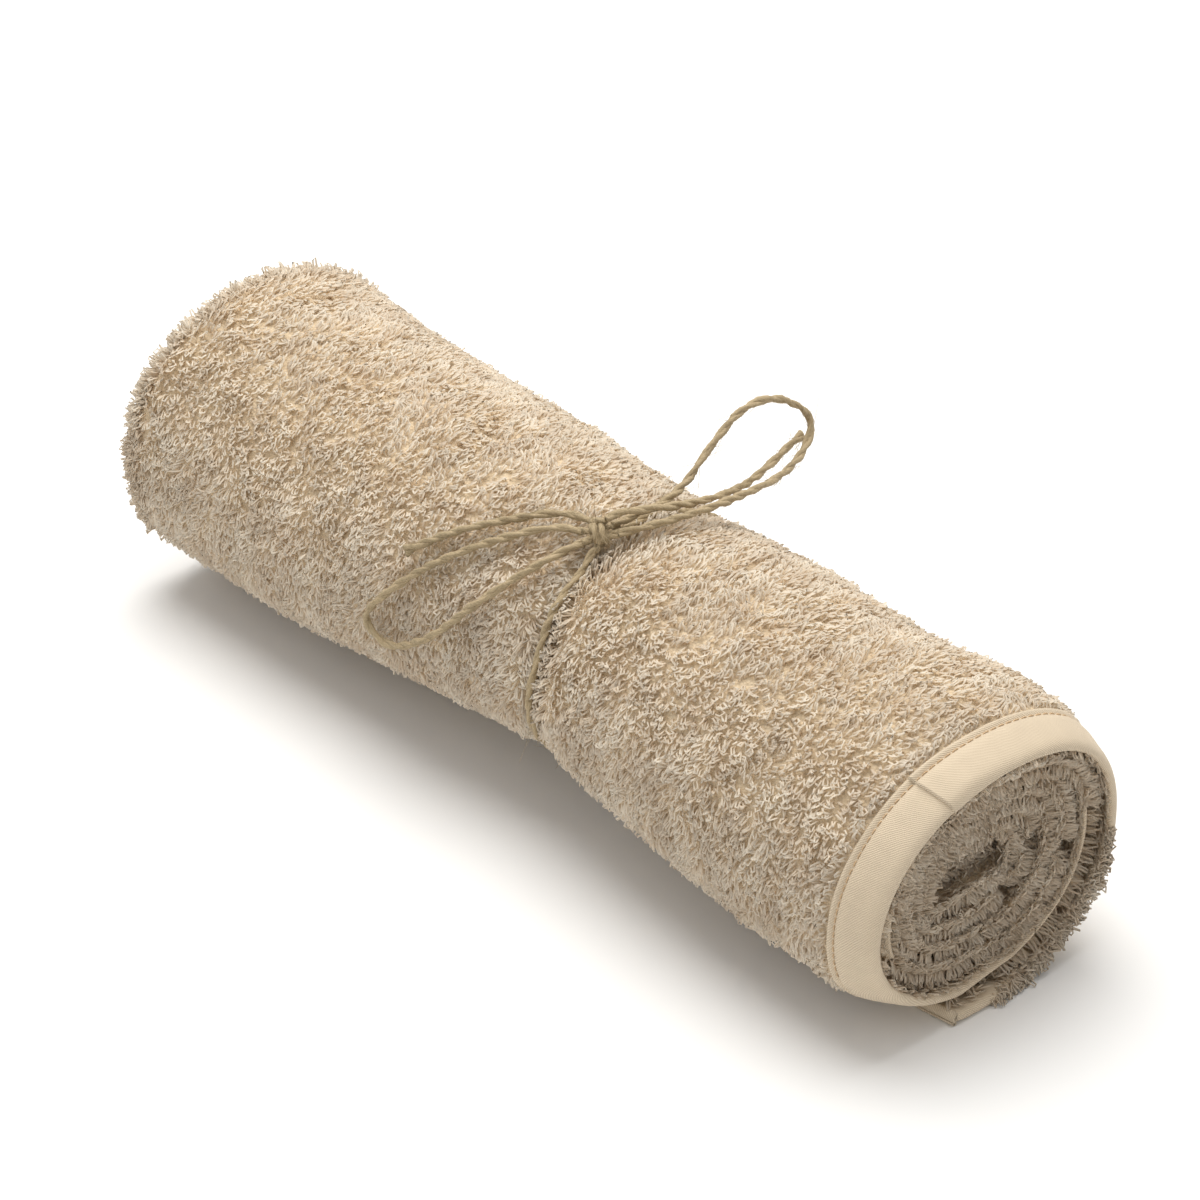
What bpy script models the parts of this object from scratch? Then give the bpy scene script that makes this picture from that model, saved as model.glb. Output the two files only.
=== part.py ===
"""Rolled bath towel, tied with jute twine.

A terry towel with bound edges is folded once along its length, so that the fold is at -X and the bound
edges are at +X. It is wound up single start, lies on its tail, and a thin jute twine is tied round its
middle in a bow. Units are metres, +Z is up, and the floor is at z = 0.
"""

import math
from collections import namedtuple

import bmesh
import bpy
from mathutils import Vector

MM = 0.001

# Driving sizes of the roll
FOLD_X = -176.0 * MM          # the folded end
RIM_X = 174.8 * MM            # the front of the edge binding, away from its corner
PLY = 6.5 * MM                # how much deeper each turn lies than the one outside it
TAIL_ANGLE = math.radians(-109.0)   # the tail's edge, counted from +Y towards +Z
TURNS = 4.6                   # turns that show at the ends, before the loose core
SPOKES = 42                   # points round one turn
MEAN_RADIUS = 51.0 * MM
NEAR_CORE = 24.0 * MM         # how deep the hollow core is at the bound end
FAR_CORE = 16.0 * MM
CLIMB = (0.78, 1.0)           # the turns over which the cloth climbs onto its own tail

# The tape that binds the edges: a folded strip, a little lower than the pile
TAPE = 1.0 * MM
TAPE_SINK = 1.2 * MM          # from the tips of the pile down to the tape's face
CLEAR = 0.3 * MM              # what every two pieces keep between them
TAPE_WIDTH = 15.8 * MM        # the part of it that lies on the outside
TAPE_LIP = 3.2 * MM           # the part that turns into the roll
CORNER_LIP = 9.0 * MM         # the same at the corner by the tail, which is turned up
CORNER_LIP_ENDS = (0.055, 0.075)    # where it narrows to the plain lip, in turns from the tail
TAPED_INSET = TAPE_SINK + TAPE + CLEAR
BOUND_PLY = 2.8 * MM          # the cloth's thickness inside the tape
BAND_X = RIM_X - TAPE_WIDTH   # where the tape's outer edge runs
LAP_TURN = 0.648              # where the tape's end laps over its start
LAP_STEP = 0.8 * MM
LAP_RAMP = (0.05, 0.03)       # the upper layer rises over this stretch before the lap, in turns
TAPE_TURNS = 1.46             # how far the tape is followed into the roll

# The bound edge along the winding, in turns from the tail
CORNER = (0.05, 0.1)          # the corner stands out up to here
CORNER_OUT = 1.2 * MM
DRAWN_BACK_TURN = 0.17        # then the edge is drawn back a little
DRAWN_BACK = 2.6 * MM
SINKING = (0.92, 1.14)        # and it sinks as it passes under the outer turn
SUNK = 4.5 * MM
DEEPER = 1.7 * MM             # how much deeper it lies with each further turn
GROOVE = 6.2 * MM             # the depth of the groove between two turns

# The soft shape of the outside
GATHER = 0.7 * MM             # folds that run out from the tie
GATHERS = 7.0
GATHER_REACH = 34.0 * MM
HOLLOW = 1.3 * MM             # a shallow dip over the far half
HOLLOW_X = -118.0 * MM
HOLLOW_REACH = 16.0 * MM
HOLLOW_ANGLE = math.radians(128.0)
BELLY = 3.6 * MM              # the roll is fuller low on the -Y side, except at its very rim
BELLY_ANGLE = math.radians(213.0)
BELLY_ENDS = (160.0 * MM, 176.0 * MM)
BROW = 4.4 * MM               # and high on the +Y side, towards the bound end
BROW_ANGLE = math.radians(45.0)
BROW_STARTS = (96.0 * MM, 150.0 * MM)

# The twine
TWINE = 1.25 * MM             # its radius
TWINE_STEP = 7.0 * MM         # from point to point along a free stretch
RING_X = 13.5 * MM
RING_SKEW = 5.0 * MM
PINCH = 5.0 * MM              # how deep the twine pulls the cloth in
PINCH_REACH = 7.0 * MM
RING_START = math.radians(111.0)
RING_END = math.radians(360.0 + 97.0)
RING_POINTS = 49
RING_LIFT = 0.9 * MM          # how far it stays off the cloth, whose facets stand out a little
START_RISE = 3.1 * MM         # how far its two ends climb out of the groove to the knot
END_RISE = 1.0 * MM
RISE_SHARE = 0.02             # over this share of its length
KNOT = Vector((13.6, -14.4, 94.4)) * MM
KNOT_RADII = Vector((5.0, 4.2, 3.6)) * MM

# The roll along its length, in mm: half of its width, half of its height, and its underside above
# the floor. Below zero the cloth is pressed flat.
Station = namedtuple("Station", "x half_width half_height underside")
STATIONS = (
    Station(-176, 56.0, 48.7, -1.2),
    Station(-150, 56.0, 48.5, -1.6),
    Station(-105, 55.4, 48.1, -1.2),
    Station(-44, 52.3, 45.3, 5.4),
    Station(-7, 49.6, 43.0, 8.4),
    Station(21, 49.4, 42.8, 8.9),
    Station(52, 52.0, 45.0, 5.4),
    Station(84, 53.9, 46.8, 1.2),
    Station(112, 54.6, 47.4, -1.4),
    Station(142, 54.9, 47.5, -2.2),
    Station(159, 55.0, 46.2, -2.8),
    Station(177, 50.6, 43.8, -2.4),
)

# The twine's free stretches in mm, each from the knot outwards, read from the bow by hand
LEFT_LOOP = (
    (8.8, -17.3, 94.2), (1.4, -21.4, 93.6), (-6.9, -28.3, 90.5), (-19.6, -38.6, 83.2),
    (-34.0, -48.9, 71.4), (-46.4, -54.9, 57.5), (-49.6, -56.2, 50.2), (-43.0, -56.0, 45.4),
    (-33.0, -55.5, 48.0), (-20.6, -53.4, 57.0), (-8.2, -48.0, 71.2), (3.2, -37.6, 84.0),
    (8.8, -26.2, 90.2), (11.2, -19.5, 92.2),
)
LEFT_END = (
    (8.4, -13.4, 96.2), (-0.6, -16.6, 95.8), (-9.5, -22.4, 93.2), (-24.2, -34.7, 87.0),
    (-35.2, -43.4, 80.0), (-40.6, -47.2, 76.0),
)
RIGHT_LOOP = (
    (13.7, -9.6, 95.4), (16.0, -2.6, 97.2), (16.8, 9.9, 98.0), (15.0, 19.6, 100.0),
    (13.4, 31.0, 107.3), (12.6, 44.0, 114.2), (12.8, 56.0, 114.2), (14.2, 66.4, 108.6),
    (16.6, 70.2, 102.6), (19.8, 65.4, 96.6), (24.0, 52.0, 94.0), (27.6, 33.0, 96.0),
    (28.2, 14.0, 98.0), (26.0, 0.6, 98.2), (18.2, -11.0, 95.2),
)
RIGHT_END = (
    (14.2, -12.5, 99.2), (17.0, -7.2, 101.0), (22.2, 4.0, 100.4), (23.4, 20.0, 97.0),
    (21.6, 36.0, 94.2), (17.6, 51.0, 93.6), (14.6, 62.3, 94.8), (13.6, 69.8, 96.0),
)


def smooth_step(start, end, value):
    share = min(max((value - start) / (end - start), 0.0), 1.0)
    return share * share * (3.0 - 2.0 * share)


def hump(centre, reach, value):
    return math.exp(-(((value - centre) / reach) ** 2))


def station_slope(index, field):
    """The slope of one column of the table at a row, from the rows on both sides."""
    before = STATIONS[max(index - 1, 0)]
    after = STATIONS[min(index + 1, len(STATIONS) - 1)]
    return (getattr(after, field) - getattr(before, field)) / (after.x - before.x)


def along_roll(x, field):
    """One column of the table at x, on a smooth curve through its rows."""
    x_mm = min(max(x / MM, STATIONS[0].x), STATIONS[-1].x)
    index = max(i for i in range(len(STATIONS) - 1) if STATIONS[i].x <= x_mm)
    first, second = STATIONS[index], STATIONS[index + 1]
    span = second.x - first.x
    t = (x_mm - first.x) / span
    value = (2 * t**3 - 3 * t**2 + 1) * getattr(first, field)
    value += (t**3 - 2 * t**2 + t) * span * station_slope(index, field)
    value += (3 * t**2 - 2 * t**3) * getattr(second, field)
    value += (t**3 - t**2) * span * station_slope(index + 1, field)
    return value * MM


def ring_x(angle):
    """Where the twine crosses the roll: it runs a little askew."""
    return RING_X - RING_SKEW * math.cos(angle)


def lobe(centre, sharpness, angle):
    """A soft bump round the roll. At a sharpness of 14 it is about 50 degrees wide."""
    return (0.5 + 0.5 * math.cos(angle - centre)) ** sharpness


def dent(x, angle):
    """How far the cloth lies under the plain oval: the tie's groove, gathers beside it and soft hollows."""
    off_tie = x - ring_x(angle)
    pinch = PINCH * hump(0.0, PINCH_REACH, off_tie)
    gathers = GATHER * math.sin(GATHERS * angle + 40.0 * x) * hump(0.0, GATHER_REACH, off_tie)
    hollow = HOLLOW * hump(HOLLOW_X, HOLLOW_REACH, x) * hump(HOLLOW_ANGLE, 0.6, angle)
    belly = BELLY * (1.0 - smooth_step(*BELLY_ENDS, x)) * lobe(BELLY_ANGLE, 20, angle)
    brow = BROW * smooth_step(*BROW_STARTS, x) * lobe(BROW_ANGLE, 14, angle)
    return pinch + gathers + hollow - belly - brow


def on_roll(x, turn, inset):
    """The point at x, so many turns from the tail, and inset under the tips of the pile."""
    angle = TAIL_ANGLE + 2.0 * math.pi * turn
    inward = inset + dent(x, angle % (2.0 * math.pi))
    half_height = along_roll(x, "half_height")
    centre = half_height + along_roll(x, "underside")
    y = (along_roll(x, "half_width") - inward) * math.cos(angle)
    z = centre + (half_height - inward) * math.sin(angle)
    return Vector((x, y, max(z, inset - TAPE_SINK, 0.0)))


def wound(turn):
    """How deep the cloth lies after so many turns: level where it lies on its tail, then a ply a turn."""
    return PLY * turn * smooth_step(*CLIMB, turn)


def rim_x(turn):
    """The front of the binding: out at the tail's corner, back beside it, and sunk in the inner turns."""
    corner = CORNER_OUT * (1.0 - smooth_step(*CORNER, turn))
    drawn_back = DRAWN_BACK * hump(DRAWN_BACK_TURN, 0.07, turn)
    sunk = SUNK * smooth_step(*SINKING, turn)
    deeper = DEEPER * max(0.0, turn - SINKING[1])
    return RIM_X + corner - drawn_back - sunk - deeper


def groove_x(turn):
    """The bottom of the groove between the ply at this turn and the one outside it."""
    by_corner = 1.0 - smooth_step(1.07, 1.11, turn)
    depth = GROOVE + (CORNER_LIP - TAPE_LIP + 1.4 * MM) * by_corner
    return min(rim_x(turn), rim_x(turn - 1.0)) - depth


def rim_row(turn):
    """The roll's bound end across one ply, from outside to inside: points of x and inset."""
    crest = rim_x(turn) - TAPE - CLEAR
    outer_x = groove_x(turn) if turn >= 1.0 else crest - 0.3 * MM
    if SINKING[0] < turn < 1.0:
        sink = smooth_step(SINKING[0], 1.0, turn)
        outer_x = outer_x * (1.0 - sink) + groove_x(1.0) * sink
    return (
        (outer_x, TAPED_INSET),
        (crest, TAPED_INSET + 0.2 * MM),
        (crest, TAPED_INSET + BOUND_PLY - 0.2 * MM),
        (groove_x(turn + 1.0), TAPED_INSET + BOUND_PLY),
    )


def fold_row(turn):
    """The roll's folded end across one ply: a round ridge with a groove on both sides."""
    ridge = FOLD_X + 1.1 * MM * max(0.0, turn - 0.9)
    lowest = ridge + 4.4 * MM
    outer_x = ridge + 3.4 * MM if turn < 1.0 else lowest
    return (
        (outer_x, 0.8 * MM),
        (ridge + 0.7 * MM, 2.6 * MM),
        (ridge, 4.0 * MM),
        (ridge + 1.3 * MM, 5.9 * MM),
    )


def turn_of(step):
    return step / SPOKES


def end_points(row_at):
    """Rows of points that follow the winding. The last point of a row is the first one a turn later."""
    rows = []
    for step in range(round(TURNS * SPOKES) + 1):
        turn = turn_of(step)
        rows.append([on_roll(x, turn, wound(turn) + inset) for x, inset in row_at(turn)])
    return rows


def inner_edge(row_at, steps):
    """The points one ply further in, which close the last turn."""
    edge = {}
    for step in range(steps - SPOKES, steps + 1):
        turn = turn_of(step) + 1.0
        x, inset = row_at(turn)[0]
        edge[step] = on_roll(x, turn, wound(turn) + inset)
    return edge


class WoundEnd:
    """One end of the roll in a bmesh: a strip that winds inwards, and the hollow core."""

    def __init__(self, mesh, row_at, core_x, flip):
        self.mesh = mesh
        self.flip = flip
        self.rows = [[mesh.verts.new(p) for p in row] for row in end_points(row_at)]
        self.steps = len(self.rows) - 1
        edge = inner_edge(row_at, self.steps)
        self.edge = {step: mesh.verts.new(p) for step, p in edge.items() if step > self.steps - SPOKES}
        self.core_x = core_x

    def across(self, step):
        """The points across the ply at this step, the shared one at its inner side included."""
        further = step + SPOKES
        inner = self.rows[further][0] if further <= self.steps else self.edge[step]
        return self.rows[step] + [inner]

    def face(self, *verts):
        self.mesh.faces.new(verts[::-1] if self.flip else verts)

    def build(self):
        for step in range(self.steps):
            here, there = self.across(step), self.across(step + 1)
            for i in range(len(here) - 1):
                self.face(here[i], there[i], there[i + 1], here[i + 1])
        self.build_core()

    def build_core(self):
        """Closes the last turn with a rounded bowl."""
        rim = [self.edge[step] for step in range(self.steps - SPOKES + 1, self.steps + 1)]
        rim += self.rows[self.steps][:0:-1] + [self.rows[self.steps][0]]
        middle = sum((v.co for v in rim), Vector()) / len(rim)
        bottom = Vector((self.core_x, middle.y, middle.z))
        bowl = []
        for vert in rim:
            place = vert.co.lerp(bottom, 0.5)
            place.x = vert.co.x + (self.core_x - vert.co.x) * 0.8
            bowl.append(self.mesh.verts.new(place))
        centre = self.mesh.verts.new(bottom)
        for i in range(len(rim)):
            j = (i + 1) % len(rim)
            self.face(rim[i], rim[j], bowl[j], bowl[i])
            self.face(bowl[i], bowl[j], centre)

    def outline(self):
        """The points round the outside, and back down the step at the tail."""
        return [row[0] for row in self.rows[: SPOKES + 1]] + self.rows[0][:0:-1]


def under_band(x):
    return x > BAND_X - 0.6 * MM


def wall_inset(x, turn):
    """The outside of the roll: it lies lower under the two tapes, and rounds off at the fold."""
    rounding = 0.9 * MM * (1.0 - smooth_step(FOLD_X + 3.0 * MM, FOLD_X + 9.0 * MM, x))
    under_tape = under_band(x) or turn < 2.01 / SPOKES
    return TAPED_INSET if under_tape else rounding


def wall_stations():
    """Where the outside is cut across: closer at the tie and at the edge of the tape."""
    plain = [FOLD_X + d * MM for d in (6.0, 10.0, 22.0, 40.0, 52.0, 62.0, 76.0, 96.0, 118.0, 140.0, 160.0)]
    tie = [RING_X + d * MM for d in (-20.0, -12.5, -8.0, -4.0, 0.0, 4.0, 8.0, 12.5, 20.0, 34.0)]
    bound = [x * MM for x in (76.0, 98.0, 120.0, 142.0)] + [BAND_X - 0.9 * MM, BAND_X - 0.5 * MM]
    return [x for x in plain if x < tie[0] - 6.0 * MM] + tie + bound


def outside_ring(mesh, x):
    """The roll's outline at x, with the step at the tail."""
    ring = []
    for step in range(SPOKES + 1):
        turn = turn_of(step)
        inset = wound(turn) + wall_inset(x, turn)
        ring.append(mesh.verts.new(on_roll(x, turn, inset)))
    deepest = wound(1.0) + (TAPED_INSET if under_band(x) else 0.0)
    for share in (0.75, 0.38, 0.2):
        inset = TAPED_INSET + (deepest - TAPED_INSET) * share
        ring.append(mesh.verts.new(on_roll(x, 0.0, inset)))
    return ring


def new_object(name, mesh, material):
    bmesh.ops.triangulate(mesh, faces=mesh.faces[:])
    data = bpy.data.meshes.new(name)
    mesh.to_mesh(data)
    mesh.free()
    data.materials.append(material)
    data.shade_smooth()
    data.set_sharp_from_angle(angle=math.radians(50.0))
    piece = bpy.data.objects.new(name, data)
    bpy.context.scene.collection.objects.link(piece)
    return piece


def make_terry_roll(material):
    """The wound cloth as one solid, with a spiral groove in both ends."""
    mesh = bmesh.new()
    near = WoundEnd(mesh, rim_row, RIM_X - NEAR_CORE, flip=False)
    far = WoundEnd(mesh, fold_row, FOLD_X + FAR_CORE, flip=True)
    near.build()
    far.build()
    rings = [far.outline()]
    rings += [outside_ring(mesh, x) for x in wall_stations()]
    rings.append(near.outline())
    for first, second in zip(rings, rings[1:]):
        for i in range(len(first)):
            j = (i + 1) % len(first)
            mesh.faces.new((first[i], first[j], second[j], second[i]))
    bmesh.ops.recalc_face_normals(mesh, faces=mesh.faces[:])
    return new_object("terry_roll", mesh, material)


def sweep(name, sections, material):
    """A solid through a row of closed sections that have the same number of points."""
    mesh = bmesh.new()
    rings = [[mesh.verts.new(p) for p in section] for section in sections]
    for first, second in zip(rings, rings[1:]):
        for i in range(len(first)):
            j = (i + 1) % len(first)
            mesh.faces.new((first[i], first[j], second[j], second[i]))
    mesh.faces.new(rings[0][::-1])
    mesh.faces.new(rings[-1])
    bmesh.ops.recalc_face_normals(mesh, faces=mesh.faces[:])
    return new_object(name, mesh, material)


def binding_section(turn):
    """The tape round the bound edge, cut across: a U that opens to -X."""
    narrowed = smooth_step(0.87, 0.95, turn)
    lip = TAPE_LIP + (CORNER_LIP - TAPE_LIP) * (1.0 - smooth_step(*CORNER_LIP_ENDS, turn))
    wide = (rim_x(turn) - BAND_X) * (1.0 - narrowed) + TAPE_LIP * narrowed
    rise, full = (LAP_TURN - before for before in LAP_RAMP)
    lapped = LAP_STEP * smooth_step(rise, full, turn) * (turn <= LAP_TURN)
    outer = TAPE_SINK
    inner = TAPED_INSET + BOUND_PLY + CLEAR + TAPE
    middle = 0.5 * (wide + TAPE)
    across = (
        (wide, outer - lapped), (middle, outer - lapped), (TAPE, outer - lapped),
        (0.0, outer + TAPE), (0.0, inner - TAPE),
        (TAPE, inner), (lip, inner), (lip, inner - TAPE), (TAPE, inner - TAPE),
        (TAPE, outer + TAPE), (middle, outer + TAPE), (wide, outer + TAPE),
    )
    return [on_roll(rim_x(turn) - back, turn, wound(turn) + inset) for back, inset in across]


def make_edge_binding(material):
    """The tape along the bound end, from the tail's corner once round and on inside the roll."""
    last = round(TAPE_TURNS * SPOKES)
    turns = [turn_of(step) for step in range(last + 1)]
    turns += [LAP_TURN - before for before in LAP_RAMP] + [LAP_TURN, LAP_TURN + 0.001]
    turns += [0.06, CORNER_LIP_ENDS[1]]
    return sweep("edge_binding", [binding_section(turn) for turn in sorted(turns)], material)


def turns_along(distance):
    """Turns for a distance round the outside, near the tail."""
    return distance / (2.0 * math.pi * MEAN_RADIUS)


def tail_section(x, leg, top):
    """The tape on the tail's edge, cut across: along the underside and up the edge."""
    start, inside = turns_along(-CLEAR - TAPE), turns_along(-CLEAR - 0.06 * MM)
    under = turns_along(leg)
    half = turn_of(1) if under > turn_of(1) else 0.5 * (inside + under)
    across = (
        (start, TAPE_SINK), (half, TAPE_SINK), (under, TAPE_SINK), (under, TAPE_SINK + TAPE),
        (half, TAPE_SINK + TAPE), (inside, TAPE_SINK + TAPE), (inside, top), (start, top),
    )
    return [on_roll(x, turn, inset) for turn, inset in across]


def make_tail_binding(material):
    """The tape along the tail, which lies under the roll."""
    leg, half_leg, bare = 12.5 * MM, 7.6 * MM, -CLEAR
    edge_top = TAPED_INSET + BOUND_PLY + CLEAR + TAPE
    body_top = PLY - 0.6 * MM
    sections = [tail_section(FOLD_X + 8.0 * MM, leg, body_top)]
    sections += [tail_section(x, leg, body_top) for x in wall_stations()[1:-2]]
    sections.append(tail_section(BAND_X - 1.2 * MM, leg, body_top))
    sections.append(tail_section(BAND_X - 1.05 * MM, half_leg, body_top))
    sections.append(tail_section(BAND_X - 0.9 * MM, bare, body_top))
    sections += [tail_section(BAND_X + d * MM, bare, edge_top) for d in (1.5, 6.0, 11.0, 16.7)]
    return sweep("tail_binding", sections, material)


def smooth_route(knots, step):
    """Points a step apart along a smooth curve through the route's own points."""
    points = [Vector(p) * MM for p in knots]
    ends = [2.0 * points[0] - points[1]] + points + [2.0 * points[-1] - points[-2]]
    fine = []
    for a, b, c, d in zip(ends, ends[1:], ends[2:], ends[3:]):
        for i in range(24):
            t = i / 24.0
            pull = (c - a) * t + (2.0 * a - 5.0 * b + 4.0 * c - d) * t**2 + (3.0 * b - a - 3.0 * c + d) * t**3
            fine.append(b + 0.5 * pull)
    fine.append(points[-1])
    lengths = [0.0]
    for first, second in zip(fine, fine[1:]):
        lengths.append(lengths[-1] + (second - first).length)
    count = max(round(lengths[-1] / step), 2)
    route = []
    for i in range(count + 1):
        target = lengths[-1] * i / count
        j = max(k for k in range(len(fine) - 1) if lengths[k] <= target + 1e-12)
        share = (target - lengths[j]) / (lengths[j + 1] - lengths[j])
        route.append(fine[j].lerp(fine[j + 1], share))
    return route


def make_tube(name, route, material):
    """A round cord along a route, with closed ends."""
    curve = bpy.data.curves.new(name, "CURVE")
    curve.dimensions = "3D"
    curve.bevel_depth = TWINE
    curve.bevel_resolution = 2
    curve.use_fill_caps = True
    spline = curve.splines.new("POLY")
    spline.points.add(len(route) - 1)
    for point, place in zip(spline.points, route):
        point.co = (*place, 1.0)
    curve.materials.append(material)
    cord = bpy.data.objects.new(name, curve)
    bpy.context.scene.collection.objects.link(cord)
    return cord


def ring_route():
    """The twine round the middle, in the groove's bottom, from one side of the knot to the other."""
    route = []
    for i in range(RING_POINTS):
        share = i / (RING_POINTS - 1)
        angle = RING_START + (RING_END - RING_START) * share
        turn = (angle - TAIL_ANGLE) / (2.0 * math.pi)
        whole = turn % 1.0
        deep = wound(whole) * (1.0 - smooth_step(0.86, 0.99, whole))
        rise = START_RISE * hump(0.0, RISE_SHARE, share) + END_RISE * hump(1.0, RISE_SHARE, share)
        route.append(on_roll(ring_x(angle), turn, deep - rise - TWINE - RING_LIFT))
    return route


def make_knot(material):
    """The bow's knot: a lump with the turns of the twine round it."""
    mesh = bmesh.new()
    bmesh.ops.create_uvsphere(mesh, u_segments=16, v_segments=10, radius=1.0)
    for vert in mesh.verts:
        way = vert.co.normalized()
        winding = 1.0 + 0.07 * math.cos(5.0 * math.atan2(way.z, way.y) + 4.0 * way.x)
        vert.co = KNOT + Vector(w * r for w, r in zip(way, KNOT_RADII)) * winding
    return new_object("bow_knot", mesh, material)


def cloth_material(name, colour, roughness):
    material = bpy.data.materials.new(name)
    material.use_nodes = True
    shader = material.node_tree.nodes["Principled BSDF"]
    shader.inputs["Base Color"].default_value = (*colour, 1.0)
    shader.inputs["Roughness"].default_value = roughness
    shader.inputs["Metallic"].default_value = 0.0
    return material


def main():
    for thing in list(bpy.data.objects):
        bpy.data.objects.remove(thing)
    make_terry_roll(cloth_material("terry_cloth", (0.58, 0.41, 0.27), 0.95))
    tape = cloth_material("binding_tape", (0.60, 0.45, 0.32), 0.8)
    make_edge_binding(tape)
    make_tail_binding(tape)
    jute = cloth_material("jute_twine", (0.36, 0.29, 0.18), 0.85)
    make_tube("twine_ring", ring_route(), jute)
    make_knot(jute)
    make_tube("bow_loop_left", smooth_route(LEFT_LOOP, TWINE_STEP), jute)
    make_tube("bow_end_left", smooth_route(LEFT_END, TWINE_STEP), jute)
    make_tube("bow_loop_right", smooth_route(RIGHT_LOOP, TWINE_STEP), jute)
    make_tube("bow_end_right", smooth_route(RIGHT_END, TWINE_STEP), jute)


main()
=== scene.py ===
"""Looks of the rolled bath towel: loop pile, bound edges and a two-strand jute tie.

The towel is folded once along its length, with the fold at -X and the bound edges at +X, wound up single
start, and tied round its middle with thin twine in a bow.
"""

import math

import bpy
import numpy as np
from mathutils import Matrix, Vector


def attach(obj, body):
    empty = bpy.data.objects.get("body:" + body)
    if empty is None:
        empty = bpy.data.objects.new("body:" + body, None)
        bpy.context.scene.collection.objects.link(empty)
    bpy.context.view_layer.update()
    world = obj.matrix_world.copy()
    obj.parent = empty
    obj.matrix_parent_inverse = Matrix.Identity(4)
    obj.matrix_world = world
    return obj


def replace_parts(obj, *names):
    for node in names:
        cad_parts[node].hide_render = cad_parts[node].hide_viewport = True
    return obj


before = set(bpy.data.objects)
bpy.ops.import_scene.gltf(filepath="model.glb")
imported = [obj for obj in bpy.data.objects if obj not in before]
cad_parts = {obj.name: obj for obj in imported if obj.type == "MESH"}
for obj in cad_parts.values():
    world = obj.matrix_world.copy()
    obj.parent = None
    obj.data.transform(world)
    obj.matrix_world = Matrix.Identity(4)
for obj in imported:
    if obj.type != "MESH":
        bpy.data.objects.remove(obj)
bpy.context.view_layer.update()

MM = 0.001
TAU = 2.0 * math.pi
FORWARD = np.array((1.0, 0.0, 0.0))

# Driving sizes of the roll and its tie, the same as in the part
FOLD_X = -176.0 * MM
RIM_X = 174.8 * MM
PLY = 6.5 * MM
TAIL_ANGLE = math.radians(-109.0)
CLIMB = (0.78, 1.0)
TAPE_SINK = 1.2 * MM
TAPE_WIDTH = 15.8 * MM
TAPE_LIP = 3.2 * MM
CORNER_LIP = 9.0 * MM
CORNER_LIP_ENDS = (0.055, 0.075)
BAND_X = RIM_X - TAPE_WIDTH
CORNER = (0.05, 0.1)
CORNER_OUT = 1.2 * MM
DRAWN_BACK_TURN = 0.17
DRAWN_BACK = 2.6 * MM
SINKING = (0.92, 1.14)
SUNK = 4.5 * MM
DEEPER = 1.7 * MM
GROOVE = 6.2 * MM
GATHER = 0.7 * MM
GATHERS = 7.0
GATHER_REACH = 34.0 * MM
HOLLOW = 1.3 * MM
HOLLOW_X = -118.0 * MM
HOLLOW_REACH = 16.0 * MM
HOLLOW_ANGLE = math.radians(128.0)
BELLY = 3.6 * MM
BELLY_ANGLE = math.radians(213.0)
BELLY_ENDS = (160.0 * MM, 176.0 * MM)
BROW = 4.4 * MM
BROW_ANGLE = math.radians(45.0)
BROW_STARTS = (96.0 * MM, 150.0 * MM)
TWINE = 1.25 * MM
RING_X = 13.5 * MM
RING_SKEW = 5.0 * MM
PINCH = 5.0 * MM
PINCH_REACH = 7.0 * MM
RING_START = math.radians(111.0)
RING_END = math.radians(360.0 + 97.0)
RING_POINTS = 49
RING_LIFT = 0.9 * MM
START_RISE = 3.1 * MM
END_RISE = 1.0 * MM
RISE_SHARE = 0.02
KNOT = (13.6, -14.4, 94.4)    # in mm

# The roll along its length, in mm: x, half of its width, half of its height, its underside
STATIONS = np.array((
    (-176, 56.0, 48.7, -1.2),
    (-150, 56.0, 48.5, -1.6),
    (-105, 55.4, 48.1, -1.2),
    (-44, 52.3, 45.3, 5.4),
    (-7, 49.6, 43.0, 8.4),
    (21, 49.4, 42.8, 8.9),
    (52, 52.0, 45.0, 5.4),
    (84, 53.9, 46.8, 1.2),
    (112, 54.6, 47.4, -1.4),
    (142, 54.9, 47.5, -2.2),
    (159, 55.0, 46.2, -2.8),
    (177, 50.6, 43.8, -2.4),
))
HALF_WIDTH, HALF_HEIGHT, UNDERSIDE = 1, 2, 3

# The twine's free stretches in mm, each from the knot outwards
LEFT_LOOP = (
    (8.8, -17.3, 94.2), (1.4, -21.4, 93.6), (-6.9, -28.3, 90.5), (-19.6, -38.6, 83.2),
    (-34.0, -48.9, 71.4), (-46.4, -54.9, 57.5), (-49.6, -56.2, 50.2), (-43.0, -56.0, 45.4),
    (-33.0, -55.5, 48.0), (-20.6, -53.4, 57.0), (-8.2, -48.0, 71.2), (3.2, -37.6, 84.0),
    (8.8, -26.2, 90.2), (11.2, -19.5, 92.2),
)
LEFT_END = (
    (8.4, -13.4, 96.2), (-0.6, -16.6, 95.8), (-9.5, -22.4, 93.2), (-24.2, -34.7, 87.0),
    (-35.2, -43.4, 80.0), (-40.6, -47.2, 76.0),
)
RIGHT_LOOP = (
    (13.7, -9.6, 95.4), (16.0, -2.6, 97.2), (16.8, 9.9, 98.0), (15.0, 19.6, 100.0),
    (13.4, 31.0, 107.3), (12.6, 44.0, 114.2), (12.8, 56.0, 114.2), (14.2, 66.4, 108.6),
    (16.6, 70.2, 102.6), (19.8, 65.4, 96.6), (24.0, 52.0, 94.0), (27.6, 33.0, 96.0),
    (28.2, 14.0, 98.0), (26.0, 0.6, 98.2), (18.2, -11.0, 95.2),
)
RIGHT_END = (
    (14.2, -12.5, 99.2), (17.0, -7.2, 101.0), (22.2, 4.0, 100.4), (23.4, 20.0, 97.0),
    (21.6, 36.0, 94.2), (17.6, 51.0, 93.6), (14.6, 62.3, 94.8), (13.6, 69.8, 96.0),
)


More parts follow.
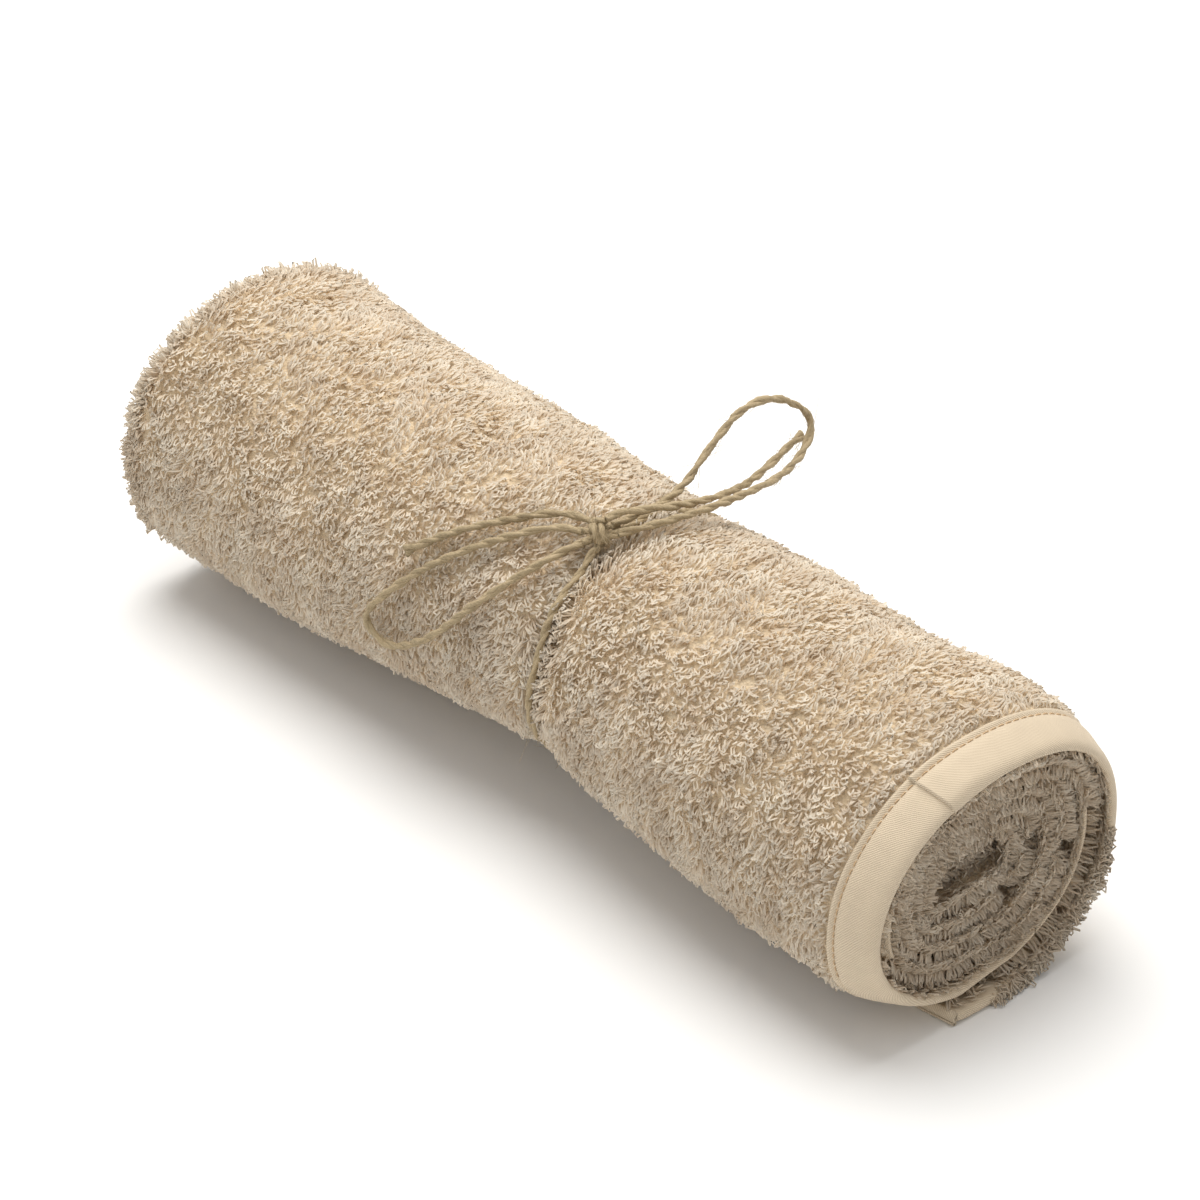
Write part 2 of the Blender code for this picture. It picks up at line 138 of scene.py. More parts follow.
def put_in_scene(name, data):
    made = bpy.data.objects.new(name, data)
    bpy.context.scene.collection.objects.link(made)
    return made


# The camera

CAMERA_PLACE = Vector((1.0568, -0.9212, 0.9679))
CAMERA_AIM = Vector((-0.0192, 0.0141, 0.042))
CAMERA_LENS = 160.65
SENSOR = 36.0


def make_camera():
    data = bpy.data.cameras.new("photo_view")
    data.sensor_width = SENSOR
    data.lens = CAMERA_LENS
    data.clip_start = 0.05
    camera = put_in_scene("photo_view", data)
    camera.location = CAMERA_PLACE
    camera.rotation_euler = (CAMERA_AIM - CAMERA_PLACE).to_track_quat("-Z", "Y").to_euler()
    bpy.context.scene.camera = camera


# Shape of the roll

def smooth_step(start, end, value):
    share = np.clip((value - start) / (end - start), 0.0, 1.0)
    return share * share * (3.0 - 2.0 * share)


def hump(centre, reach, value):
    return np.exp(-(((value - centre) / reach) ** 2))


def angle_at(turn):
    return TAIL_ANGLE + TAU * turn


def along_roll(x, column):
    """One column of the table at x, on a smooth curve through its rows."""
    xs, values = STATIONS[:, 0], STATIONS[:, column]
    before = np.maximum(np.arange(len(xs)) - 1, 0)
    after = np.minimum(np.arange(len(xs)) + 1, len(xs) - 1)
    slopes = (values[after] - values[before]) / (xs[after] - xs[before])
    x_mm = np.clip(np.asarray(x) / MM, xs[0], xs[-1])
    i = np.clip(np.searchsorted(xs, x_mm, side="right") - 1, 0, len(xs) - 2)
    span = xs[i + 1] - xs[i]
    t = (x_mm - xs[i]) / span
    value = (2 * t**3 - 3 * t**2 + 1) * values[i]
    value += (t**3 - 2 * t**2 + t) * span * slopes[i]
    value += (3 * t**2 - 2 * t**3) * values[i + 1]
    value += (t**3 - t**2) * span * slopes[i + 1]
    return value * MM


def ring_x(angle):
    return RING_X - RING_SKEW * np.cos(angle)


def lobe(centre, sharpness, angle):
    """A soft bump round the roll. At a sharpness of 14 it is about 50 degrees wide."""
    return (0.5 + 0.5 * np.cos(angle - centre)) ** sharpness


def dent(x, angle):
    """How far the cloth lies under the plain oval: the tie's groove, gathers beside it and soft hollows."""
    off_tie = x - ring_x(angle)
    pinch = PINCH * hump(0.0, PINCH_REACH, off_tie)
    gathers = GATHER * np.sin(GATHERS * angle + 40.0 * x) * hump(0.0, GATHER_REACH, off_tie)
    hollow = HOLLOW * hump(HOLLOW_X, HOLLOW_REACH, x) * hump(HOLLOW_ANGLE, 0.6, angle)
    belly = BELLY * (1.0 - smooth_step(*BELLY_ENDS, x)) * lobe(BELLY_ANGLE, 20, angle)
    brow = BROW * smooth_step(*BROW_STARTS, x) * lobe(BROW_ANGLE, 14, angle)
    return pinch + gathers + hollow - belly - brow


def on_roll(x, turn, inset):
    """Points at x, so many turns from the tail, and inset under the tips of the pile."""
    x, turn, inset = np.broadcast_arrays(np.asarray(x, float), turn, inset)
    angle = angle_at(turn)
    inward = inset + dent(x, angle % TAU)
    half_height = along_roll(x, HALF_HEIGHT)
    centre = half_height + along_roll(x, UNDERSIDE)
    y = (along_roll(x, HALF_WIDTH) - inward) * np.cos(angle)
    z = centre + (half_height - inward) * np.sin(angle)
    z = np.maximum(np.maximum(z, inset - TAPE_SINK), 0.0)
    return np.stack((x, y, z), axis=-1)


def wound(turn):
    return PLY * turn * smooth_step(*CLIMB, turn)


def rim_x(turn):
    """The front of the binding: out at the tail's corner, back beside it, and sunk in the inner turns."""
    corner = CORNER_OUT * (1.0 - smooth_step(*CORNER, turn))
    drawn_back = DRAWN_BACK * hump(DRAWN_BACK_TURN, 0.07, turn)
    sunk = SUNK * smooth_step(*SINKING, turn)
    deeper = DEEPER * np.maximum(0.0, turn - SINKING[1])
    return RIM_X + corner - drawn_back - sunk - deeper


def unit(vectors):
    return vectors / np.maximum(np.linalg.norm(vectors, axis=-1, keepdims=True), 1e-12)


def skin_frame(surface, first, second, steps):
    """Places on a surface of two parameters, with the unit directions along both and the way out."""
    place = surface(first, second)
    one = unit(surface(first + steps[0], second) - surface(first - steps[0], second))
    two = unit(surface(first, second + steps[1]) - surface(first, second - steps[1]))
    return place, one, two, unit(np.cross(two, one))


# Mesh building

def mesh_piece(name, verts, quads, material, slot, floats=None, uvs=None, uv_name="OFBake"):
    """An object from arrays of corners and four-sided faces, with values for each corner."""
    mesh = bpy.data.meshes.new(name)
    mesh.vertices.add(len(verts))
    mesh.vertices.foreach_set("co", np.ascontiguousarray(verts, np.float32).ravel())
    mesh.loops.add(quads.size)
    mesh.loops.foreach_set("vertex_index", np.ascontiguousarray(quads, np.int32).ravel())
    mesh.polygons.add(len(quads))
    mesh.polygons.foreach_set("loop_start", np.arange(0, quads.size, 4, dtype=np.int32))
    mesh.update(calc_edges=True)
    for key, values in (floats or {}).items():
        mesh.attributes.new(key, "FLOAT", "POINT").data.foreach_set("value", values.astype(np.float32))
    if uvs is not None:
        layer = mesh.uv_layers.new(name=uv_name)
        layer.uv.foreach_set("vector", np.ascontiguousarray(uvs, np.float32).ravel())
    mesh.shade_smooth()
    mesh.materials.append(material)
    piece = put_in_scene(name, mesh)
    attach(piece, "root")
    return piece


def grid_quads(rows, columns, closed=False):
    """Faces of a grid of corners, closed round each row if asked."""
    across = np.arange(columns if closed else columns - 1)
    row, column = np.meshgrid(np.arange(rows - 1), across, indexing="ij")
    ahead = (column + 1) % columns
    here, beyond = row * columns, (row + 1) * columns
    corners = (here + column, here + ahead, beyond + ahead, beyond + column)
    return np.stack(corners, axis=-1).reshape(-1, 4)


def grid_steps(rows, columns):
    """The corners of those faces, counted in steps across and along the grid."""
    row, side = np.meshgrid(np.arange(rows - 1), np.arange(columns), indexing="ij")
    across = np.stack((side, side + 1, side + 1, side), axis=-1)
    return across, np.stack((row, row, row + 1, row + 1), axis=-1)


def joined(parts):
    """Several meshes, each its corners and its faces, as one."""
    starts = np.cumsum([0] + [len(verts) for verts, _ in parts])
    quads = [quads + start for (_, quads), start in zip(parts, starts)]
    return np.vstack([verts for verts, _ in parts]), np.vstack(quads)


def repeated(verts, quads):
    """The same faces on each row of corners."""
    starts = np.arange(len(verts)) * verts[0, ..., 0].size
    return verts.reshape(-1, 3), (quads[None] + starts[:, None, None]).reshape(-1, 4)


def tubes(paths, radii, sides, up):
    """Closed-round thin tubes along many paths at once. paths is (tubes, points, 3)."""
    along = unit(np.gradient(paths, axis=1))
    across = unit(np.cross(along, up))
    out = np.cross(along, across)
    turn = TAU * np.arange(sides) / sides
    ring = across[:, :, None, :] * np.cos(turn)[:, None] + out[:, :, None, :] * np.sin(turn)[:, None]
    verts = paths[:, :, None, :] + ring * radii[..., None, None]
    return repeated(verts, grid_quads(paths.shape[1], sides, closed=True))


def half_tubes(paths, radii, face):
    """The same, but only the half that faces this way, for yarn whose other side is never seen."""
    along = unit(np.gradient(paths, axis=1))
    across = unit(np.cross(along, face))
    ridge = np.cross(across, along)
    size = radii[..., None]
    verts = np.stack((paths - across * size, paths + ridge * size, paths + across * size), axis=2)
    return repeated(verts, grid_quads(paths.shape[1], 3))


def tube_uvs(count, points, sides):
    """Each tube in its own cell of the square, so that a picture of the material can be taken."""
    cells = math.ceil(math.sqrt(count))
    across, along = grid_steps(points, sides)
    inside = np.stack((across / sides, along / (points - 1)), axis=-1).reshape(-1, 2) * 0.86 + 0.07
    index = np.arange(count)
    corner = np.stack((index % cells, index // cells), axis=-1)
    return (corner[:, None, :] + inside[None]) / cells


# Materials

RIB_PITCH, CROSS_PITCH = 0.95 * MM, 0.45 * MM


def srgb(red, green, blue):
    """A colour that is given in the usual 0 to 255 steps, as the linear values that a shader takes."""
    parts = np.array((red, green, blue)) / 255.0
    linear = np.where(parts <= 0.04045, parts / 12.92, ((parts + 0.055) / 1.055) ** 2.4)
    return (*[float(v) for v in linear], 1.0)


def new_material(name, roughness, specular=0.5, sheen=0.0, sheen_tint=(1.0, 1.0, 1.0, 1.0)):
    """A material and its shader, with the values that are the same all over."""
    material = bpy.data.materials.new(name)
    material.use_nodes = True
    shader = material.node_tree.nodes["Principled BSDF"]
    shader.inputs["Roughness"].default_value = roughness
    shader.inputs["Specular IOR Level"].default_value = specular
    shader.inputs["Sheen Weight"].default_value = sheen
    shader.inputs["Sheen Roughness"].default_value = 0.45
    shader.inputs["Sheen Tint"].default_value = sheen_tint
    return material, material.node_tree, shader


def node(tree, kind, **values):
    made = tree.nodes.new(kind)
    for key, value in values.items():
        if key in made.inputs:
            made.inputs[key].default_value = value
        else:
            setattr(made, key, value)
    return made


def feed(tree, socket, value):
    """Put a value, or what another socket gives, into a socket."""
    if isinstance(value, bpy.types.NodeSocket):
        tree.links.new(value, socket)
    else:
        socket.default_value = value


def attribute(tree, name):
    return node(tree, "ShaderNodeAttribute", attribute_name=name)


def mix_colour(tree, factor, first, second, blend="MIX"):
    """Two colours mixed by a factor. Each of the three is a value or a socket."""
    mixed = node(tree, "ShaderNodeMix", data_type="RGBA", blend_type=blend)
    for socket, value in ((0, factor), (6, first), (7, second)):
        feed(tree, mixed.inputs[socket], value)
    return mixed.outputs[2]


def map_range(tree, value, low, high, to_low, to_high):
    ranged = node(tree, "ShaderNodeMapRange")
    for socket, given in enumerate((value, low, high, to_low, to_high)):
        feed(tree, ranged.inputs[socket], given)
    return ranged.outputs[0]


def math_node(tree, operation, first, second=None):
    made = node(tree, "ShaderNodeMath", operation=operation)
    feed(tree, made.inputs[0], first)
    if second is not None:
        feed(tree, made.inputs[1], second)
    return made.outputs[0]


def noise(tree, vector, scale, detail, roughness=0.55):
    made = node(tree, "ShaderNodeTexNoise", Scale=scale, Detail=detail, Roughness=roughness)
    tree.links.new(vector, made.inputs["Vector"])
    return made.outputs["Fac"]


def add_bump(tree, shader, height, strength, distance):
    bump = node(tree, "ShaderNodeBump", Strength=strength, Distance=distance)
    tree.links.new(height, bump.inputs["Height"])
    tree.links.new(bump.outputs["Normal"], shader.inputs["Normal"])


def mottle_group():
    """Soft patches of lighter and darker dye, the same in cloth, tape and twine."""
    group = bpy.data.node_groups.new("dye_mottle", "ShaderNodeTree")
    for name, kind in (("Colour", "Color"), ("Amount", "Float"), ("Size", "Float")):
        group.interface.new_socket(name, in_out="INPUT", socket_type="NodeSocket" + kind)
    group.interface.new_socket("Colour", in_out="OUTPUT", socket_type="NodeSocketColor")
    entry, end = group.nodes.new("NodeGroupInput"), group.nodes.new("NodeGroupOutput")
    place = node(group, "ShaderNodeTexCoord").outputs["Object"]
    patches = node(group, "ShaderNodeTexNoise", Detail=3.0)
    group.links.new(place, patches.inputs["Vector"])
    group.links.new(entry.outputs["Size"], patches.inputs["Scale"])
    spread = math_node(group, "SUBTRACT", patches.outputs["Fac"], 0.5)
    swing = math_node(group, "MULTIPLY", spread, entry.outputs["Amount"])
    level = math_node(group, "ADD", math_node(group, "MULTIPLY", swing, 2.0), 1.0)
    grey = node(group, "ShaderNodeCombineColor")
    for channel in ("Red", "Green", "Blue"):
        group.links.new(level, grey.inputs[channel])
    dyed = mix_colour(group, 1.0, entry.outputs["Colour"], grey.outputs[0], blend="MULTIPLY")
    group.links.new(dyed, end.inputs["Colour"])
    return group


def mottled(tree, group, colour, amount, size):
    """The colour with the dye's soft patches over it."""
    made = node(tree, "ShaderNodeGroup", node_tree=group)
    for name, value in (("Colour", colour), ("Amount", amount), ("Size", size)):
        feed(tree, made.inputs[name], value)
    return made.outputs["Colour"]


def pile_material(dye):
    """Cotton loops, each its own tone, with painted shade that makes them darker and warmer towards the
    root.
    """
    material, tree, shader = new_material("terry_loops", 0.7, 0.22, 0.45, srgb(255, 242, 222))
    tone = attribute(tree, "tone").outputs["Fac"]
    tip = attribute(tree, "tip").outputs["Fac"]
    crest = mix_colour(tree, tone, srgb(226, 212, 192), srgb(247, 239, 224))
    # painted shade: the root colours are darker and warmer than the crest colours, standing for the shade
    # down among the loops
    root = mix_colour(tree, tone, srgb(222, 203, 177), srgb(241, 227, 205))
    colour = mix_colour(tree, tip, root, crest)
    shaded = mottled(tree, dye, colour, 0.05, 45.0)
    tree.links.new(shaded, shader.inputs["Base Color"])
    let_light_through(material, shaded, 0.38)
    return material


def let_light_through(material, colour, share):
    """Mix in light that comes through the yarn from behind."""
    tree = material.node_tree
    output = tree.nodes["Material Output"]
    behind = node(tree, "ShaderNodeBsdfTranslucent")
    mixed = node(tree, "ShaderNodeMixShader")
    mixed.inputs[0].default_value = share
    tree.links.new(colour, behind.inputs["Color"])
    tree.links.new(tree.nodes["Principled BSDF"].outputs[0], mixed.inputs[1])
    tree.links.new(behind.outputs[0], mixed.inputs[2])
    tree.links.new(mixed.outputs[0], output.inputs["Surface"])


def ground_material(dye):
    """The woven ground under the loops, with the feet of the loops as fine bumps, coloured darker than the
    yarn as painted shade.
    """
    material, tree, shader = new_material("terry_ground", 0.9, 0.2, 0.2, srgb(255, 235, 205))
    place = node(tree, "ShaderNodeTexCoord").outputs["Object"]
    feet = node(tree, "ShaderNodeTexVoronoi", Scale=900.0)
    tree.links.new(place, feet.inputs["Vector"])
    # partly painted shade: the ground's own cotton colour, made darker than the loops to stand for the
    # shade down between them
    colour = mix_colour(tree, feet.outputs["Distance"], srgb(222, 204, 176), srgb(204, 183, 152))
    tree.links.new(mottled(tree, dye, colour, 0.12, 90.0), shader.inputs["Base Color"])
    add_bump(tree, shader, feet.outputs["Distance"], 0.8, 0.8 * MM)
    return material


def tape_material(dye):
    """Cotton tape with a fine diagonal rib. Its map runs along and across the tape, in metres."""
    material, tree, shader = new_material("binding_tape", 0.68, 0.3, 0.3, srgb(255, 244, 228))
    place = node(tree, "ShaderNodeUVMap", uv_map="along_tape").outputs["UV"]
    split = node(tree, "ShaderNodeSeparateXYZ")
    tree.links.new(place, split.inputs[0])
    wander = math_node(tree, "MULTIPLY", noise(tree, place, 260.0, 2.0), 0.7 * MM)
    slant = math_node(tree, "MULTIPLY", split.outputs["Y"], 1.15)
    run = math_node(tree, "ADD", math_node(tree, "ADD", split.outputs["X"], slant), wander)
    rib = math_node(tree, "SINE", math_node(tree, "MULTIPLY", run, TAU / RIB_PITCH))
    cross = math_node(tree, "MULTIPLY", split.outputs["Y"], TAU / CROSS_PITCH)
    cross = math_node(tree, "SINE", cross)
    weave = math_node(tree, "ADD", rib, math_node(tree, "MULTIPLY", cross, 0.35))
    lit = map_range(tree, weave, -1.3, 1.3, 0.0, 1.0)
    colour = mix_colour(tree, lit, srgb(197, 178, 151), srgb(227, 211, 186))
    tree.links.new(mottled(tree, dye, colour, 0.07, 120.0), shader.inputs["Base Color"])
    add_bump(tree, shader, weave, 0.5, 0.14 * MM)
    return material


def thread_material(dye):
    material, tree, shader = new_material("sewing_thread", 0.5, 0.4)
    shaded = mottled(tree, dye, srgb(206, 176, 138), 0.1, 400.0)
    tree.links.new(shaded, shader.inputs["Base Color"])
    return material


def jute_material(dye):
    """Jute: long fibres along each strand, pale where they catch the light and olive in between."""
    material, tree, shader = new_material("jute_twine", 0.6, 0.35, 0.2, srgb(250, 240, 215))
    place = node(tree, "ShaderNodeUVMap", uv_map="along_strand").outputs["UV"]
    stretched = node(tree, "ShaderNodeMapping")
    stretched.inputs["Scale"].default_value = (22.0, 0.7, 1.0)
    tree.links.new(place, stretched.inputs["Vector"])
    fibre = noise(tree, stretched.outputs[0], 2.2, 5.0, 0.65)
    spread = map_range(tree, fibre, 0.34, 0.66, 0.0, 1.0)
    colour = mix_colour(tree, spread, srgb(136, 116, 82), srgb(212, 192, 156))
    tree.links.new(mottled(tree, dye, colour, 0.12, 150.0), shader.inputs["Base Color"])
    add_bump(tree, shader, fibre, 0.6, 0.3 * MM)
    return material


def floor_material():
    material, _, shader = new_material("plain_floor", 0.9, 0.1)
    shader.inputs["Base Color"].default_value = (0.9, 0.9, 0.895, 1.0)
    return material


# The twine

STRAND_PITCH = 15.0 * MM
STRAND_OFFSET = 0.47 * MM
STRAND_RADIUS = 0.92 * MM
STRAND_SIDES = 9
STRAND_STEP = 0.7 * MM
FIBRE = 0.085 * MM            # half a hair's thickness at its root
FIBRE_POINTS = 6
CURVE_STEPS = 24              # between two points of a route


def smooth_route(knots, step):
    """Points a step apart along a smooth curve through the route's own points."""
    points = np.array(knots, float) * MM
    ends = np.vstack((2.0 * points[0] - points[1], points, 2.0 * points[-1] - points[-2]))
    fine = []
    for a, b, c, d in zip(ends, ends[1:], ends[2:], ends[3:]):
        t = (np.arange(CURVE_STEPS) / CURVE_STEPS)[:, None]
        pull = (c - a) * t + (2.0 * a - 5.0 * b + 4.0 * c - d) * t**2 + (3.0 * b - a - 3.0 * c + d) * t**3
        fine.append(b + 0.5 * pull)
    return resample(np.vstack(fine + [points[-1:]]), step)


def run_lengths(route):
    """How far along a route each of its points is."""
    steps = np.linalg.norm(np.diff(route, axis=0), axis=1)
    return np.concatenate(((0.0,), np.cumsum(steps)))


def resample(route, step):
    lengths = run_lengths(route)
    count = max(round(lengths[-1] / step), 2)
    wanted = np.linspace(0.0, lengths[-1], count + 1)
    return np.stack([np.interp(wanted, lengths, route[:, axis]) for axis in range(3)], axis=-1)


def ring_route():
    """The twine round the middle, in the groove's bottom, from one side of the knot to the other."""
    share = np.linspace(0.0, 1.0, 4 * RING_POINTS)
    angle = RING_START + (RING_END - RING_START) * share
    turn = (angle - TAIL_ANGLE) / TAU
    whole = turn % 1.0
    deep = wound(whole) * (1.0 - smooth_step(0.86, 0.99, whole))
    rise = START_RISE * hump(0.0, RISE_SHARE, share) + END_RISE * hump(1.0, RISE_SHARE, share)
    return on_roll(ring_x(angle), turn, deep - rise - TWINE - RING_LIFT)


def carried_frames(route):
    """Directions across the route that turn as little as they can from point to point."""
    along = unit(np.gradient(route, axis=0))
    across = np.empty_like(route)
    side = np.cross(along[0], (0.0, 0.0, 1.0))
    across[0] = side / np.linalg.norm(side)
    for i in range(1, len(route)):
        side = across[i - 1] - along[i] * np.dot(across[i - 1], along[i])
        across[i] = side / np.linalg.norm(side)
    return along, across, np.cross(along, across)


def twisted_mesh(route, rng, loosen=0.0):
    """Two strands laid round each other along a route. Loosened, they open into a brush at the far end."""
    route = resample(route, STRAND_STEP)
    along, across, over = carried_frames(route)
    distance = np.arange(len(route)) * STRAND_STEP
    open_end = loosen * np.exp(-(distance[-1] - distance) / (3.0 * MM))
    turn = TAU * np.arange(STRAND_SIDES) / STRAND_SIDES
    phase = rng.uniform(0.0, TAU)
    strands, uvs = [], []
    for strand in range(2):
        swing = TAU * distance / STRAND_PITCH + phase + strand * math.pi
        swing = swing + 0.7 * np.sin(distance / (11.0 * MM) + phase) + 0.4 * np.sin(distance / (4.3 * MM))
        ease = 1.0 + 0.22 * np.sin(distance / (6.1 * MM) + 2.0 * phase)
        offset = (STRAND_OFFSET * ease * (1.0 + 0.9 * open_end))[:, None]
        centre = route + offset * (across * np.cos(swing)[:, None] + over * np.sin(swing)[:, None])
        thick = STRAND_RADIUS * (1.0 + 0.14 * np.sin(distance / (3.7 * MM) + 2.1 * strand))
        thick = thick[:, None] * (1.0 + 0.07 * rng.standard_normal((len(route), STRAND_SIDES)))
        thick = thick * (1.0 + 0.35 * open_end[:, None])
        lay = turn[None, :] + (1.6 * swing)[:, None]
        ring = across[:, None, :] * np.cos(lay)[..., None] + over[:, None, :] * np.sin(lay)[..., None]
        surface = centre[:, None, :] + ring * thick[..., None]
        first = centre[0] + (surface[:1] - centre[0]) * 0.25
        last = centre[-1] + (surface[-1:] - centre[-1]) * 0.25
        rows = np.concatenate((first, surface, last))
        strands.append((rows.reshape(-1, 3), grid_quads(len(rows), STRAND_SIDES, closed=True)))
        u, v = grid_steps(len(rows), STRAND_SIDES)
        u, v = u / STRAND_SIDES + strand * 1.37, v * STRAND_STEP / (2.0 * MM)
        uvs.append(np.stack((u, v), axis=-1).reshape(-1, 2))
    return joined(strands), np.vstack(uvs)


def twine_piece(name, parts, material):
    """One piece from the meshes of several stretches of twine."""
    verts, quads = joined([mesh for mesh, _ in parts])
    return mesh_piece(name, verts, quads, material, "jute_twine",
                      uvs=np.vstack([uvs for _, uvs in parts]), uv_name="along_strand")


def loose_fibres(routes, material, rng):
    """Hairs that stand off the twine, most of them lying nearly along it."""
    paths = []
    for route, count in routes:
        route = resample(route, 0.5 * MM)
        along, across, over = carried_frames(route)
        for _ in range(count):
            i = rng.integers(2, len(route) - 2)
            swing = rng.uniform(0.0, TAU)
            out = across[i] * math.cos(swing) + over[i] * math.sin(swing)
            way = along[i] * rng.choice((-1.0, 1.0)) + out * rng.uniform(0.15, 0.8)
            bend = rng.normal(0.0, 0.35, 3)
            reach = rng.uniform(3.0, 9.0) * MM * (1.0 + 1.2 * (rng.random() < 0.08))
            share = np.linspace(0.0, 1.0, FIBRE_POINTS)[:, None]
            course = (way * share + bend * share**2 * 0.6) * reach
            paths.append(route[i] + out * TWINE * 0.8 + course)
    paths = np.array(paths)
    paths[..., 2] = np.maximum(paths[..., 2], 0.5 * MM)
    radii = np.full(paths.shape[:2], FIBRE) * np.linspace(1.0, 0.45, FIBRE_POINTS)
    verts, quads = tubes(paths, radii, 3, np.array((0.13, 0.21, 0.97)))
    strand = np.tile(np.array(((0.0, 0.0), (0.2, 0.0), (0.2, 1.0), (0.0, 1.0))), (len(quads), 1))
    return mesh_piece("twine_fibres", verts, quads, material, "jute_twine",
                      uvs=strand, uv_name="along_strand")


def knot_routes():
    """The twine inside the bow's knot, in mm: strands that pass through, and the turns round them."""
    through = [
        ((8.8, -17.3, 94.2), (11.6, -14.6, 94.8), (13.0, -12.0, 95.3), (13.7, -9.6, 95.4)),
        ((11.2, -19.5, 92.2), (13.0, -15.8, 93.0), (15.6, -13.2, 94.2), (18.2, -11.0, 95.2)),
        ((8.4, -13.4, 96.2), (11.2, -12.9, 96.9), (13.0, -12.8, 98.2), (14.2, -12.5, 99.2)),
        ((15.4, -18.5, 90.3), (14.9, -15.0, 91.6), (14.6, -11.0, 92.7), (14.2, -6.8, 93.7)),
    ]
    axis = np.array((0.57, 0.82, 0.06))
    side = np.array((-0.82, 0.57, 0.0))
    up = np.array((-0.03, -0.05, 1.0))
    share = np.linspace(0.0, 1.0, 40)[:, None]
    swing = TAU * (1.75 * share + 0.1)
    turns = np.array(KNOT) + side * 2.9 * np.cos(swing) + up * 2.3 * np.sin(swing)
    turns = turns + axis * (3.8 * share - 2.1)
    return through, turns


def make_tie(material, rng):
    """The ring, the bow's loops and free ends, and its knot."""
    left_loop, right_loop = smooth_route(LEFT_LOOP, MM), smooth_route(RIGHT_LOOP, MM)
    left_end, right_end = smooth_route(LEFT_END, MM), smooth_route(RIGHT_END, MM)
    ring = ring_route()
    free = (
        ("bow_loop_left", left_loop, "object", 0.0), ("bow_end_left", left_end, "bare", 1.0),
        ("bow_loop_right", right_loop, "object", 0.0), ("bow_end_right", right_end, "bare", 1.0),
    )
    for name, route, far_end, loosen in free:
        cord = twine_piece(name + "_twine", [twisted_mesh(route, rng, loosen)], material)
        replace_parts(cord, name)
    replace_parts(twine_piece("twine_ring_twine", [twisted_mesh(ring, rng)], material), "twine_ring")
    through, turns = knot_routes()
    parts = [smooth_route(route, STRAND_STEP) for route in through] + [turns * MM]
    knot = twine_piece("bow_knot_twine", [twisted_mesh(route, rng) for route in parts], material)
    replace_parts(knot, "bow_knot")
    loose_fibres(((left_loop, 110), (right_loop, 90), (left_end, 70), (right_end, 40), (ring, 90),
                  (turns * MM, 110)), material, rng)


# The cloth under the pile

GROUND = 2.3 * MM             # from the tips of the pile down to the woven ground
FULLER = 1.7 * MM             # how much nearer the surface it lies at the fold
GROUND_PLY = 1.6 * MM         # how thick a ply is between the grounds of its two faces
END_TURNS = 5.6               # how far the two ends are followed inwards
TAPED_TURNS = 1.86            # how far the tape is followed into the roll
CORE_HOLLOWS = (              # the dark gaps in the bound end's core: y and z in mm
    (22.5, 42.3), (34.0, 37.0), (-5.1, 40.4), (13.7, 29.7),
)
CORE_HOLLOW_REACH, CORE_HOLLOW_DEPTH = 3.2 * MM, 5.5 * MM
WALL_ROWS = 96
AROUND = 150


def groove_x(turn):
    """The bottom of the groove between the ply at this turn and the one outside it."""
    by_corner = 1.0 - smooth_step(1.07, 1.11, turn)
    depth = GROOVE + (CORNER_LIP - TAPE_LIP + 1.4 * MM) * by_corner
    return np.minimum(rim_x(turn), rim_x(turn - 1.0)) - depth


def upper(turn):
    """1 on the upper part of the roll, 0 on the lower part."""
    return smooth_step(-0.25, 0.6, np.sin(angle_at(turn)))


def ground_inset(x, turn):
    return GROUND - FULLER * upper(turn) * smooth_step(-138.0 * MM, -170.0 * MM, x)


def uneven(turn):
    """The loose inner turns don't lie evenly."""
    angle = angle_at(turn)
    waves = 0.9 * np.sin(2.0 * angle + 0.8) + 0.7 * np.sin(3.0 * angle + turn)
    return smooth_step(1.3, 2.6, turn) * MM * waves


def core_sink(place):
    """How near a place on the end is to one of the core's dark gaps, from 0 to 1."""
    sink = np.zeros(place.shape[:-1])
    for y, z in CORE_HOLLOWS:
        away = np.hypot(place[..., 1] - y * MM, place[..., 2] - z * MM)
        sink = np.maximum(sink, hump(0.0, CORE_HOLLOW_REACH, away))
    return sink


def end_row(turn, across, crest, outer_x, inner_x, ply):
    """A place on one ply's edge, from its outer flank at 0 over the crest to its inner flank at 1."""
    low = np.where(across < 0.5, outer_x, inner_x)
    rise = np.abs(np.sin(math.pi * np.clip(across, 0.0, 1.0))) ** 0.45
    inset = wound(turn) + ground_inset(crest, turn) + ply * smooth_step(0.0, 1.0, across) + uneven(turn)
    return on_roll(low + (crest - low) * rise, turn, inset)


def bound_end(turn, across):
    crest = rim_x(turn) - 1.5 * MM
    outer_x = np.where(turn < 1.0, crest - 0.5 * MM, groove_x(turn))
    place = end_row(turn, across, crest, outer_x, groove_x(turn + 1.0), GROUND_PLY)
    place[..., 0] -= CORE_HOLLOW_DEPTH * core_sink(place)
    return place


def fold_end(turn, across):
    ridge = FOLD_X + (0.8 + 3.0 * (1.0 - upper(turn)) + 1.1 * np.maximum(0.0, turn - 0.9)) * MM
    low = ridge + 4.6 * MM
    outer_x = np.where(turn < 1.0, ridge + 3.0 * MM, low)
    return end_row(turn, across, ridge, outer_x, low, 2.0 * GROUND_PLY)


def outside(x, turn):
    return on_roll(x, turn, wound(turn) + ground_inset(x, turn))


def wall(share, turn):
    """The outside, from the fold at 0 to the bound end at 1."""
    start = fold_end(turn, np.zeros_like(turn))[..., 0]
    end = bound_end(turn, np.zeros_like(turn))[..., 0]
    return outside(start + (end - start) * share, turn)


